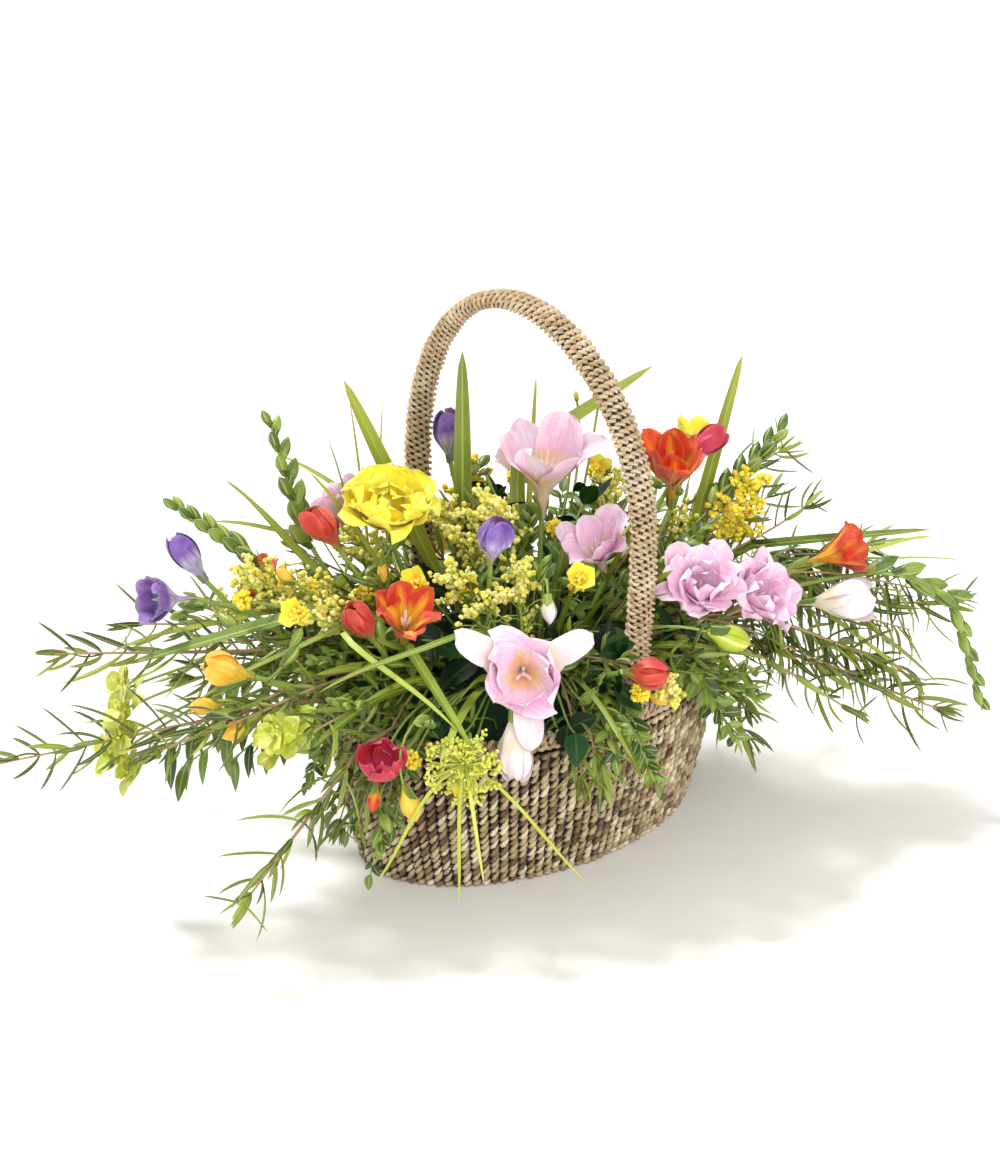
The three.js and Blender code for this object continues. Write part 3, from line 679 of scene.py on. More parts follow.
def petal(piece, base, axis, spoke, length, mouth, profile, wide, material, reach=1.0, frill=0.06):
    """One petal of a funnel-shaped flower, from the foot of the tube to its rounded tip."""
    s, t = lattice(PETAL_ROWS, PETAL_COLUMNS)
    s = 1 - (1 - s) ** 1.25
    middle, slope = Line(np.pad(profile * (mouth * reach, length), ((0, 0), (0, 1)))).at_share(s)
    out, rise = middle[..., 0], middle[..., 1]
    limb = smooth(*LIMB, s)
    point = rng.uniform(2.2, 3.6)
    tip = np.sqrt(np.clip(1 - (np.clip(s - TIP_START, 0, 1) / (1 - TIP_START)) ** point, 0.003, 1))
    half = (1 - limb) * out * 1.15 + limb * wide * mouth * tip * (0.7 + 0.3 * smooth(0.4, 0.7, s))
    bend = out * (1 - limb) + limb * wide * mouth * rng.uniform(1.5, 2.4)
    angle = half / bend * t
    loose = smooth(*LOOSE, s)
    waves = np.sin(s * rng.uniform(9, 15) + t * rng.uniform(1, 3) + rng.uniform(0, 6))
    ruffle = frill * waves * np.abs(t) ** 1.5 * loose
    twist = jitter(0.2) * t * loose
    groove = -GROOVE_DEPTH * np.exp(-((t / GROOVE_WIDTH) ** 2)) * loose
    droop = jitter(0.12) * smooth(0.6, 1.0, s)
    points = sheet(
        base,
        (spoke, out),
        (axis, rise),
        (turned(spoke, axis, math.pi / 2), bend * np.sin(angle)),
        (
            axis * slope[..., :1] - spoke * slope[..., 1:2],
            bend * (1 - np.cos(angle)) + mouth * (ruffle + twist + groove + droop),
        ),
    )
    piece.shell(points, PETAL_THICK, rng.random(), material)


def closed_bud(piece, base, axis, length, wide, material, fat=0.6):
    """A closed bud: three petals wound over each other to a blunt tip."""
    s, t = lattice(9, 7)
    t = (1 + t) / 2
    spoke = square_to(axis)
    belly = np.clip(bulge(s, fat), 0, 1) ** 0.8
    out = wide * (0.16 * (1 - s) + 0.86 * belly + 0.02) * (1 + 0.13 * t * np.sin(math.pi * s))
    for k in range(3):
        angle = FULL_TURN * k / 3 + rng.uniform(0, 0.3) + 2.9 * t + 0.5 * s
        points = sheet(base, (axis, s * length), *around(axis, spoke, out, angle))
        piece.grid(points, rng.random(), material)


def sheath(piece, base, axis, length, wide):
    """The pair of small pointed bracts that hold a flower's tube."""
    s, t = lattice(5, 3)
    out = wide * (1 + 0.55 * s)
    angle = t * np.sqrt(np.clip(1 - s**2.2, 0.01, 1)) * 1.5 / 1.3
    for k in range(2):
        spoke = spoke_of(axis, math.pi * k + 0.4)
        points = sheet(base, (axis, s * length), *around(axis, spoke, out, angle))
        piece.shell(points, BRACT_THICK, rng.random(), "bud_green")


def green_bud(piece, base, axis, length, wide_share):
    closed_bud(piece, base, axis, length, wide_share * length, "bud_green", fat=0.55)
    sheath(piece, base, axis, length * 0.45, 0.13 * length)


def stamens(piece, base, axis, length, mouth):
    """Three stamens and a longer style in the throat."""
    for k in range(4):
        splay, height = (0.13, 0.72) if k < 3 else (0.02, 0.82)
        foot = base + axis * length * 0.3
        tip = base + axis * length * height + spoke_of(axis, FULL_TURN * k / 3) * splay * mouth
        line = arc_line(foot, axis, tip, axis)
        piece.stalk(line, (0.35, 0.3, 0.9, 0.9, 0.2), rings=11, material="anther")


# How each bloom is built: petal colours, how open it is, and its rings of petals, as
# (petals, width in mouth widths, reach, how much more closed than the outside).
SINGLE = ((3, 0.44, 1.0, 0.0), (3, 0.46, 0.92, 0.15))
RUFFLED = ((4, 0.44, 1.0, 0.0), (4, 0.4, 0.8, 0.4))
DOUBLE = ((5, 0.38, 1.1, 0.0), (5, 0.44, 0.9, 0.25), (5, 0.4, 0.72, 0.65), (4, 0.34, 0.5, 1.1))
FULL = (
    (6, 0.56, 1.0, 0.0), (6, 0.52, 0.93, 0.2), (6, 0.46, 0.8, 0.45),
    (5, 0.42, 0.62, 0.8), (4, 0.36, 0.42, 1.1),
)
FACING = ((3, 0.27, 1.28, 0.0), (4, 0.52, 0.7, 0.45), (3, 0.46, 0.5, 0.85))
WIDE_MOUTH = ((3, 0.6, 1.0, 0.0), (3, 0.58, 0.93, 0.14))
BELL = ((3, 0.66, 1.16, 0.0), (3, 0.62, 1.04, 0.14))
UPRIGHT = ((3, 0.5, 1.0, 0.0), (3, 0.5, 0.9, 0.2), (2, 0.4, 0.7, 0.4))
GOBLET = ((3, 0.6, 1.2, 0.0), (3, 0.56, 1.1, 0.2), (2, 0.4, 0.8, 0.4))
BLOOMS = {  # petals outside, petals inside, how open, whorls
    "pink_freesia_top": ("blush", "pink", 0.35, SINGLE),
    "pink_freesia_centre": ("pink", "ruffled_pink", 0.55, RUFFLED),
    "pink_freesia_right_inner": ("pink", "ruffled_pink", 0.7, DOUBLE),
    "pink_freesia_right_outer": ("pink", "ruffled_pink", 0.6, DOUBLE),
    "pink_freesia_front": ("pale_pink", "pink", 0.75, FACING),
    "yellow_freesia_large": ("yellow", "yellow", 0.35, FULL),
    "yellow_freesia_back": ("yellow", "yellow", 0.3, SINGLE),
    "orange_freesia_front": ("orange", "orange", 0.55, SINGLE),
    "red_freesia_back": ("red", "orange", 0.15, UPRIGHT),
    "orange_freesia_right": ("red", "orange", 0.5, WIDE_MOUTH),
    "red_freesia_low": ("crimson", "crimson", -0.4, GOBLET),
    "purple_freesia_left": ("purple", "purple", 0.35, BELL),
    "pink_freesia_rear_left": ("ruffled_pink", "ruffled_pink", 0.7, DOUBLE),
    "pink_freesia_rear_right": ("pink", "pink", 0.5, SINGLE),
    "yellow_freesia_rear": ("yellow", "yellow", 0.6, DOUBLE),
    "orange_freesia_rear": ("orange", "red", 0.5, SINGLE),
}
BLOOM_RINGS = 7
BUDS = {  # petals, how open
    "pale_pink_bud_front": ("pale_pink", 0.2),
    "pale_pink_bud_right": ("pale_pink", 0.6),
    "yellow_bud_left": ("amber", 0.12),
    "red_bud_front": ("scarlet", 0.12),
    "red_bud_left": ("scarlet", 0.12),
    "magenta_bud_back": ("crimson", 0.12),
    "red_bud_handle": ("scarlet", 0.12),
    "purple_bud_left": ("purple", 0.12),
    "purple_bud_centre": ("purple", 0.12),
    "purple_bud_back": ("purple", 0.12),
}
BUD_RINGS = 5


# The buds behind a flower: how far below its face their stalk starts, and their lengths.
STALK_DROP = 7 * MM
FIRST_BUD = 14 * MM
BUD_STEP = 2.5 * MM


def keep_clear(point, facing, radius):
    """Keeps the greenery made after this off a flower head."""
    HEADS.append((point, facing, radius))


def companion_buds(piece, cutting, count):
    """Green buds that follow a flower on the same bent stalk, behind its face."""
    first_turn = rng.uniform(0, FULL_TURN)
    foot = cutting.base - cutting.axis * STALK_DROP
    for k in range(6):
        away = spoke_of(cutting.axis, first_turn + k, cutting.side)
        away = unit(away + UP * 0.2 - cutting.axis * 0.35)
        end = foot + away * (8 + 6 * count) * MM
        stalk = arc_line(foot, away - cutting.axis * 0.5, end, away + UP * 0.5)
        if not crosses_a_head(stalk):
            break
    piece.stalk(stalk, (1.0, 0.5), rings=7)
    for i in range(count):
        spot = stalk.point(stalk.length * (i + 1) / count)
        lean = unit(UP * 0.4 + away * 0.9 + any_direction() * 0.25)
        green_bud(piece, spot, lean, FIRST_BUD - BUD_STEP * i, 0.22)


def make_bloom(node, outside, inside, openness, whorls):
    cutting = Cutting(node, BLOOM_RINGS)
    base, axis, wide = cutting.base, cutting.axis, cutting.wide * 0.95
    length = np.linalg.norm(cutting.head.points[-4] - base)
    piece = Piece(node + ".flower", outside, *{inside} - {outside}, "stem", "bud_green", "anther")
    cutting.draw_stem(piece)
    sheath(piece, base - axis * MM, axis, 0.24 * length, 2.2 * MM)
    companion_buds(piece, cutting, rng.choice((2, 3)))
    for ring, (count, share, reach, closing) in enumerate(whorls):
        for k in range(count):
            turn = FULL_TURN * (k + 0.5 * (ring % 2)) / count + jitter(0.12)
            profile = mouth_line(openness - closing + jitter(0.12))
            tall = length * rng.uniform(0.93, 1.03) * (1 - 0.12 * closing)
            petal(
                piece, base, axis, spoke_of(axis, turn, -UP), tall, wide, profile, share,
                inside if ring else outside, reach * rng.uniform(0.92, 1.05), frill=0.07 + 0.012 * count,
            )
    stamens(piece, base, axis, length, cutting.wide)
    keep_clear(base + axis * length * 0.85, axis, wide * max(reach for _, _, reach, _ in whorls))
    piece.stand_for(node)


def make_bud(node, colour, openness):
    cutting = Cutting(node, BUD_RINGS)
    base, axis, wide, length = cutting.base, cutting.axis, cutting.wide, cutting.length
    piece = Piece(node + ".bud", colour, "stem", "bud_green")
    cutting.draw_stem(piece)
    sheath(piece, base, axis, 0.34 * length, 1.9 * MM)
    for ring in range(2):
        for k in range(3):
            spoke = turned(cutting.side, axis, FULL_TURN * (k + 0.5 * ring) / 3 + jitter(0.15))
            profile = SHUT + (CUP - SHUT) * (openness + jitter(0.1) - 0.06 * ring)
            tall = length * rng.uniform(0.9, 1.0) * (1 - 0.05 * ring)
            mouth = wide * (1 - 0.1 * ring)
            petal(piece, base, axis, spoke, tall, mouth, profile, 0.88, colour, frill=0.03)
    companion_buds(piece, cutting, 2)
    middle = base + axis * length * 0.6
    keep_clear(middle, unit(axis + UP * 0.3), wide)
    keep_clear(middle, outward_from(middle, 0.05), wide * 1.2)
    piece.stand_for(node)


# ---- Sprays of green ----


LEAF_OVERHANG = 7 * MM
LEAF_SWEEP = 0.6  # how far a leaf leans along its stem, to one part away from it
NEEDLE_GAP = 7.4 * MM
NEEDLE_THICK = 0.9 * MM
BARE_FOOT = 24 * MM


def is_outside(point):
    """Whether a point lies further out of the CAD model's box than a leaf may reach."""
    low, high = map(np.array, cad_box)
    return bool(np.any(point < low - LEAF_OVERHANG) or np.any(point > high + LEAF_OVERHANG))


def leaf(piece, base, along, facing, length, half, material, curl=0.15, fold=0.25, thick=0.4 * MM,
         rows=6, columns=3, fullest=0.45, blunt=0.8):
    """One leaf: pointed at both ends, folded along its rib and curled towards its tip.

    A leaf that would stand in a flower's face or past the CAD model's box is left out.
    """
    along = unit(along)
    tip = base + along * length
    if hides_a_head(base + along * length * 0.5) or hides_a_head(tip) or is_outside(tip):
        return
    s, t = lattice(rows, columns)
    width = half * np.maximum(bulge(s, fullest) ** blunt, 0.03)
    normal = square_to(along, facing)
    points = sheet(
        base,
        (along, s * length * (1 - 0.12 * abs(curl) * s)),
        (np.cross(along, normal), width * t),
        (normal, fold * width * np.abs(t) - curl * length * s**2),
    )
    piece.shell(points, thick, rng.random(), material)


def needle(piece, base, out, stem_way, length, half):
    """A narrow leathery needle, keeled below and bowed like a sickle along its stem."""
    facing = -square_to(unit(out), stem_way)
    leaf(piece, base, out, facing, length, half, "needle", curl=rng.uniform(0.02, 0.55), fold=0.3,
         thick=NEEDLE_THICK, rows=7, blunt=0.55)


def dress_sprig(piece, line, facing, needle_length, half=1.5 * MM):
    """Pairs of needles up a stem, each pair at right angles to the last, shorter to the tip."""
    pairs = max(2, int(line.length / NEEDLE_GAP))
    for i in range(pairs):
        share = (i + rng.uniform(0.2, 0.8)) / pairs
        spot, tangent = line.at_share(share)
        side = np.cross(tangent, spoke_of(tangent, PAIR_TURN * (i % 2) + jitter(0.5), facing))
        size = needle_length * min(1.0, 0.6 + 2 * share, 1.6 * (1 - share) + 0.6)
        for sign in (-1, 1):
            out = unit(side * sign + tangent * (LEAF_SWEEP + jitter(0.35)) + any_direction() * 0.25)
            needle(piece, spot, out, tangent, size * rng.uniform(0.7, 1.15), half)
        if rng.random() < 0.5:
            needle(piece, spot, unit(tangent + any_direction() * 0.8), tangent, size * 0.5, half * 0.8)
    tip, tangent = line.point(line.length - 8 * MM), line.tangent(line.length)
    for _ in range(4):
        needle(piece, tip, unit(tangent + any_direction() * 0.5), tangent, needle_length * 0.55, half * 0.8)


def sprig_side(cutting):
    """The way a flat cutting faces: square to its line and to its wide side, and upward."""
    normal = unit(np.cross(cutting.axis, cutting.side))
    return normal if normal[2] > 0 else -normal


SPRIGS = (
    "rosemary_left_long", "rosemary_left_upper", "rosemary_front_low", "rosemary_right_low",
    "rosemary_right", "rosemary_back_right", "rosemary_rear_right", "rosemary_rear_left",
)


def head_rings_where_wide(node, beyond=1.7 * MM):
    """How many of a cutting's rings, counted from the tip, belong to its head."""
    rings = rings_of(node)
    widths = [np.linalg.norm(ring - ring.mean(0), axis=1).max() for ring in rings]
    first = next(i for i in range(2, len(rings)) if widths[i] > beyond)
    return len(rings) - first


def make_sprig(node):
    cutting, piece = start_spray(
        node, head_rings_where_wide(node), "spray", ("needle", "twig"), 1.15, (1.1, 0.5), 14, "twig"
    )
    facing = sprig_side(cutting)
    dress_sprig(piece, cutting.head, facing, cutting.wide * 1.95)
    if cutting.stem.length > BARE_FOOT + 12 * MM:
        lower = cutting.stem.upper(BARE_FOOT / cutting.stem.length, 5)
        dress_sprig(piece, lower, facing, cutting.wide * 1.4)
    piece.stand_for(node)


BLADES = (
    "blade_upright", "blade_left_back", "blade_right_back", "blade_behind_handle",
    "blade_far_left", "blade_front", "blade_right",
)


def blade(piece, line, facing, half, material="blade"):
    """A freesia's own leaf: long, folded along its rib and pointed like a sword."""
    s, t = lattice(18, 7)
    middle, tangent = line.at_share(s)
    width = half * (0.5 + 0.5 * smooth(0, 0.35, s)) * np.sqrt(np.clip(1 - s**3.2, 0.0004, 1))
    normal = np.array([[square_to(way, facing)] for way in tangent[:, 0]])
    points = sheet(middle, (np.cross(tangent, normal), width * t), (normal, 0.3 * width * np.abs(t)))
    piece.shell(points, BRACT_THICK, rng.random(), material)


def make_blade(node):
    line = Line(np.array([ring.mean(0) for ring in rings_of(node)[2:]]))
    cutting = Cutting(node, 5)
    piece = Piece(node + ".leaf", "blade")
    blade(piece, line, np.cross(cutting.side, cutting.axis), cutting.wide)
    for share in np.linspace(0.55, 0.95, 9):
        spot = line.point(share * line.length)
        keep_clear(spot, outward_from(spot, 0.05), 6 * MM)
    piece.stand_for(node)


# How far down its stem, in millimetres, the buds of each spike reach.
SPIKES = {
    "bud_spike_left": 8,
    "bud_spike_far_left": 8,
    "bud_spike_right": 62,
    "bud_spike_back_right": 12,
}


def dress_spike(piece, line, size, count):
    """Freesia buds in two rows up one side of a stem, the lowest the largest."""
    facing = square_to(line.tangent(line.length / 2))
    for i in range(count):
        share = i / count
        spot, tangent = line.at_share(share)
        side = np.cross(tangent, square_to(tangent, facing)) * alternate(i)
        lean = unit(tangent * 1.3 + side * 0.72 + facing * 0.3 + any_direction() * 0.15)
        length = size * (1 - 0.45 * share)
        if not hides_a_head(spot + lean * length):
            green_bud(piece, spot, lean, length, 0.2)


def make_spike(node, below):
    cutting, piece = start_spray(node, 15, "buds", ("stem", "bud_green"), 1.2, (1.2, 0.5), 10)
    budded = cutting.stem.upper(1 - below * MM / cutting.stem.length, 6)
    line = Line(np.concatenate([budded.points, cutting.head.points[1:]]))
    dress_spike(piece, line, 4.9 * cutting.wide, 10 + below // 8)
    piece.stand_for(node)


# ---- Goldenrod, buttons and dill ----


def bead(piece, centre, radius, material, squash=1.0, axis=UP):
    """A small faceted floret, longer than wide if squash is over 1."""
    s = np.linspace(0.1, math.pi - 0.1, 4)[:, None]
    t = np.linspace(0, FULL_TURN, 5, endpoint=False)
    ring = around(axis, square_to(axis), np.sin(s) * radius, t)
    piece.grid(sheet(centre, (-axis, np.cos(s) * radius * squash), *ring), rng.random(), material, wrap=True)


# Long rays of the dill, as (sideways lean, length in millimetres), and its short ones.
DILL_RAYS = ((-0.72, 74), (0.03, 67), (0.27, 58), (1.4, 82))
SHORT_RAYS = 80
RAY_FLORETS = 8
DILL_RADIUS = 15 * MM

PLUMES = {
    "goldenrod_centre": "goldenrod",
    "goldenrod_top": "goldenrod",
    "goldenrod_right": "deep_goldenrod",
    "goldenrod_left": "goldenrod",
    "goldenrod_rear": "deep_goldenrod",
}


def dress_plume(piece, line, wide, material="goldenrod", branches=15, florets=20):
    """Short arching branches round a stem, each set with florets all along it."""
    for i in range(branches):
        share = 0.02 + 0.94 * i / branches
        spot, tangent = line.at_share(share)
        out = spoke_of(tangent, SPIRAL_TURN * i)
        reach = wide * (1.3 - 0.85 * share) * rng.uniform(0.8, 1.2)
        tip = spot + out * reach + tangent * reach * 0.75
        twig = arc_line(spot, tangent + out, tip, out, steps=5)
        piece.stalk(twig, (0.4, 0.25), 5, 4)
        for k in range(florets):
            along = twig.point(twig.length * (0.12 + 0.88 * k / florets))
            floret = along + any_direction() * rng.uniform(0.6, 3.2) * MM
            if not hides_a_head(floret):
                bead(piece, floret, rng.uniform(0.9, 1.7) * MM, material, 1.2, any_direction())


def make_plume(node, material):
    cutting, piece = start_spray(node, 7, "plume", (material, "stem", "needle"), 1.1, (1.0, 0.4), 8)
    dress_plume(piece, cutting.head, cutting.wide * 1.2, material)
    for i in range(10):
        spot = cutting.stem.point(cutting.stem.length * (0.4 + 0.6 * i / 10))
        out = unit(cutting.stem.tangent(cutting.stem.length * 0.8) * 0.8 + any_direction())
        leaf(piece, spot, out, UP, 16 * MM, 1.8 * MM, "needle")
    piece.stand_for(node)


def make_dill(node):
    """A dill umbel: a fluffy hub of short rays with florets, and a few long thin rays below."""
    cutting = Cutting(node, 4)
    piece = Piece(node + ".umbel", "dill", "lime_leaf", "stem")
    cutting.draw_stem(piece, 1.2)
    outward = outward_from(cutting.base)
    sideways = np.cross(UP, outward)
    hub = cutting.base + outward * 4 * MM
    for i in range(SHORT_RAYS):
        out = unit(outward * rng.uniform(0.1, 1.0) + spoke_of(outward, SPIRAL_TURN * i))
        tip = hub + out * rng.uniform(5, 20) * MM
        piece.stalk(arc_line(hub, outward + out * 0.3, tip), (0.4, 0.3), 4, 4, "lime_leaf")
        for _ in range(RAY_FLORETS):
            spread = any_direction() * rng.uniform(0.4, 3.6) * MM
            bead(piece, tip + spread, rng.uniform(0.6, 1.1) * MM, "dill", 1.3, any_direction())
    for turn, length in DILL_RAYS:
        out = unit(outward * 0.35 + sideways * turn - UP * 1.1)
        set_off = outward * 0.5 + sideways * turn * 0.8 - UP * 0.3
        blade(piece, arc_line(hub, set_off, hub + out * length * MM, out), outward, 0.95 * MM, "lime_leaf")
    keep_clear(hub, unit(outward + UP * 0.2), DILL_RADIUS)
    piece.stand_for(node)


# ---- Box sprigs and filling foliage ----


def dress_leafy(piece, line, leaf_length, pairs=12):
    """Opposite pairs of small oval leaves up a stem, and one more at its tip."""
    for i in range(pairs):
        share = (i + 0.4) / pairs
        spot, tangent = line.at_share(share)
        normal = spoke_of(tangent, PAIR_TURN * (i % 2) + jitter(0.3))
        for sign in (-1, 1):
            out = unit(np.cross(tangent, normal) * sign + tangent * LEAF_SWEEP + any_direction() * 0.2)
            size = leaf_length * (1 - 0.4 * share) * rng.uniform(0.8, 1.15)
            leaf(piece, spot, out, normal + UP * 0.5, size, size * 0.24, "box_leaf")
    tip, tangent = line.at_share(1)
    leaf(piece, tip, tangent, UP, leaf_length * 0.7, leaf_length * 0.21, "box_leaf")


def make_box_sprig(node):
    cutting, piece = start_spray(node, 6, "spray", ("box_leaf", "stem", "needle"), 1.2, (1.1, 0.5), 8)
    dress_leafy(piece, cutting.head, 14 * MM)
    dress_sprig(piece, cutting.head, UP, 13 * MM, half=0.9 * MM)
    piece.stand_for(node)


FOAM_EDGE = 26 * MM
ROOT_DEPTH = 6 * MM
UNDERGROWTH_LEAVES = 210


def from_foam(tip, set_off=None, arrive=None):
    """A stem's line to a tip, from just under the top of the foam."""
    half = (foam_high - foam_low)[:2] / 2 - FOAM_EDGE
    flat = tip[:2] * 0.5
    foot = np.array([*(flat / max(1.0, np.linalg.norm(flat / half))), foam_high[2] - ROOT_DEPTH])
    if set_off is None:
        set_off = unit(tip - foot) + UP * 0.6
    return arc_line(foot, set_off, tip, arrive)


def grow(piece, places, radii, rings=12, set_off=None, arrive=None, rise=0.0, clear=False, sides=5,
         material="stem"):
    """Draws a stem to each place; yields its line, the way out and the rest of the place's values.

    set_off and arrive say how far outward and how far up a stem points at its foot and its tip.
    With clear, a stem that would cross a flower head is left out.
    """
    for x, y, z, *rest in places:
        tip = mm(x, y, z)
        outward = outward_from(tip, rise)
        ways = [way and outward * way[0] + UP * way[1] for way in (set_off, arrive)]
        line = from_foam(tip, *ways)
        if not (clear and crosses_a_head(line)):
            piece.stalk(line, radii, rings, sides, material)
            yield line, outward, *rest


def make_undergrowth():
    """Dark ivy-like leaves that hide the foam, standing out of it all round and over the rim."""
    piece = Piece("ivy_undergrowth", "ivy_leaf", "box_leaf", "stem")
    half = (foam_high - foam_low)[:2] / 2 + 3 * MM
    for i in range(UNDERGROWTH_LEAVES):
        ring = math.sqrt((i + 0.5) / UNDERGROWTH_LEAVES)
        turn = GOLDEN_TURN * i
        flat = np.array([math.cos(turn), math.sin(turn)]) * ring * half
        rise = rng.uniform(0, 34) * (1 - 0.5 * ring) - 14 * smooth(0.75, 1.0, ring) - 4
        spot = np.array([*flat, foam_high[2] + rise * MM])
        outward = unit(np.array([*flat, 0.0]) + 1e-6)
        lift = UP * rng.uniform(0.0, 0.9) * (1.2 - ring)
        out = unit(outward * (0.25 + ring) + lift + any_direction() * 0.6)
        size = rng.uniform(14, 25) * MM
        kind = "ivy_leaf" if rng.random() < 0.55 else "box_leaf"
        foot = spot - out * size * 0.7 - UP * 6 * MM
        piece.stalk(arc_line(foot, UP, spot, out, steps=5), (0.5, 0.5), 5, 4)
        leaf(piece, spot, out, UP + outward * 0.5, size, size * rng.uniform(0.26, 0.4), kind,
             curl=rng.uniform(0, 0.35), fullest=0.4, rows=7, columns=5)
    piece.make("leaf")


# The bushy mass of small greenery: the middle and half-sizes of the dome its tips reach.
DOME_HEART = mm(0, 0, 86)
DOME_HALF = mm(168, 122, 82)
DOME_SPRIGS = 96
DOME_REACH = (0.8, 1.06)

# The handle's plane, which dome sprays keep off: half its width, where it starts, how far they move.
HANDLE_HALF_GAP = 18 * MM
HANDLE_GAP_START = 45 * MM
HANDLE_SIDESTEP = 30 * MM


def make_dome():
    """Short sprays all over the dome: box leaves, needles, or small green buds and grass."""
    box = Piece("dome_box_sprays", "box_leaf", "stem", "lime_leaf")
    rosemary = Piece("dome_rosemary_sprays", "needle", "twig")
    grass = Piece("dome_grass_and_buds", "blade", "stem", "bud_green")
    for i in range(DOME_SPRIGS):
        rise = 1 - 0.98 * (i + 0.5) / DOME_SPRIGS
        turn = GOLDEN_TURN * i
        flat = math.sqrt(1 - rise * rise)
        way = np.array([flat * math.cos(turn), flat * math.sin(turn), rise])
        tip = DOME_HEART + DOME_HALF * way * rng.uniform(*DOME_REACH)
        if abs(tip[0]) < HANDLE_HALF_GAP and abs(tip[1]) > HANDLE_GAP_START:
            tip[0] += HANDLE_SIDESTEP
        line = from_foam(tip, arrive=unit(way + any_direction() * 0.25))
        if crosses_a_head(line):
            continue
        upper = line.upper(0.3, 7)
        if i % 2 == 0:
            box.stalk(line, (0.9, 0.4), 10)
            dress_leafy(box, upper, rng.uniform(11, 16) * MM, 9)
        elif i % 4 == 1:
            rosemary.stalk(line, (0.9, 0.4), 10, material="twig")
            dress_sprig(rosemary, upper, UP, 22 * MM)
        else:
            grass.stalk(line, (0.9, 0.5), 10)
            dress_spike(grass, line.upper(0.7, 5), 13 * MM, 5)
            for _ in range(2):
                end = tip + any_direction() * 22 * MM
                blade(grass, from_foam(end), any_direction(), rng.uniform(1.6, 2.6) * MM)
    box.make("leaf")
    rosemary.make("rosemary")
    grass.make("leaf")


# Light sprigs of needles and small leaves that fill the gaps: tip, length of the leafy part.
FILL_SPRIGS = (
    (-40, 85, 218, 60), (-110, -10, 150, 60), (-70, -55, 150, 45), (20, -70, 145, 50),
    (45, 30, 185, 60), (-150, -60, 100, 70), (-90, -95, 95, 50), (-205, 5, 110, 80),
    (150, -60, 150, 60), (165, -20, 140, 70), (90, -95, 120, 50), (150, -110, 75, 80),
    (55, -105, 85, 45), (-130, 95, 120, 60), (60, 85, 130, 50), (120, 60, 140, 60),
    (10, 95, 130, 50), (-20, 95, 165, 55), (-175, 60, 110, 70), (180, 20, 110, 70),
    (-170, -70, 65, 70), (120, -120, 55, 60), (-10, 20, 165, 45), (-165, -25, 108, 60),
    (-158, -48, 92, 60), (190, -70, 118, 80), (-225, 20, 100, 70),
    (-85, 110, 122, 60), (-110, 82, 132, 60), (-120, 60, 138, 55), (-75, 90, 142, 55),
    (-130, 40, 126, 55), (-145, 85, 112, 60), (-60, 60, 150, 50), (-95, 30, 136, 45),
)


def make_fill_sprigs():
    piece = Piece("filler_sprigs", "needle", "twig")
    for x, y, z, leafy in FILL_SPRIGS:
        tip = mm(x, y, z)
        line = from_foam(tip, arrive=outward_from(tip, 0.02) * 0.8 + UP * (z - 110) / 90)
        if crosses_a_head(line):
            continue
        piece.stalk(line, (1.0, 0.5), 14, 6, "twig")
        start = max(0.35, 1 - leafy * MM / line.length)
        dress_sprig(piece, line.upper(start, 7), UP, 24 * MM)
    piece.make("rosemary")


SICKLE_GAP = 6 * MM

# Sprays at the right that arch out and hang: tips, length of the needled part.
ARCHING_SPRAYS = (
    (146, -126, 76, 95), (172, -108, 84, 105), (126, -112, 74, 90), (188, -92, 92, 105),
    (196, -75, 104, 100), (160, -130, 66, 95), (180, -110, 104, 95),
)


def make_arching_sprays():
    """Arching stems whose long needles bend down like sickles."""
    piece = Piece("arching_sprays", "needle", "twig")
    ways = {"set_off": (0.9, 0.7), "arrive": (1, -0.35)}
    for line, _, needled in grow(piece, ARCHING_SPRAYS, (1.0, 0.4), 14, sides=6, material="twig", **ways):
        upper = line.upper(1 - needled * MM / line.length, 9)
        count = 2 * int(upper.length / SICKLE_GAP)
        for i in range(count):
            share = (i + 0.5) / count
            spot, tangent = upper.at_share(share)
            aside = np.cross(tangent, UP) * alternate(i)
            hang = UP * rng.uniform(-1.3, 0.3)
            out = unit(tangent * rng.uniform(0.4, 0.9) + aside * rng.uniform(0.1, 0.7) + hang)
            size = rng.uniform(24, 37) * (1 - 0.35 * share) * MM
            leaf(piece, spot, out, UP, size, 1.3 * MM, "needle", curl=rng.uniform(0.1, 0.6), fold=0.3,
                 thick=NEEDLE_THICK, rows=9, blunt=0.5)
    piece.make("rosemary")


# Sprays that spill over the rim: tips, by kind.
SPILL_NEEDLES = (
    (-46, -100, 62), (-42, -101, 78), (70, -92, 44), (-130, 0, 32), (-138, -25, 48), (-122, -60, 100),
    (-56, -96, 64), (-50, -99, 74), (-66, -94, 88), (62, -98, 66),
    (122, 20, 55), (60, 88, 55), (0, 102, 60), (-70, 92, 60), (-128, 45, 70),
    (95, -80, 100), (140, -20, 95), (-100, -78, 95), (20, 108, 95), (-60, -98, 112), (48, -108, 92),
)
SPILL_LEAVES = (
    (-62, -98, 70), (-84, -86, 84), (-54, -100, 86), (-112, -52, 92), (-142, -12, 88),
    (-130, 20, 80), (118, 0, 70), (95, 55, 70), (35, 95, 66), (-40, 98, 70), (-105, 72, 76),
    (-92, -82, 104), (-140, 20, 104), (70, -95, 108),
    (-135, -15, 42), (-126, -38, 50), (-140, 8, 62), (-128, -42, 76), (-134, -30, 24), (-112, -60, 66),
    (-138, -40, 92), (-124, 10, 40), (-146, -4, 74),
    (-58, -96, 72), (-74, -90, 76), (-60, -98, 62), (-66, -96, 82), (-42, -103, 80),
    (-76, -90, 90), (-64, -99, 96),
)


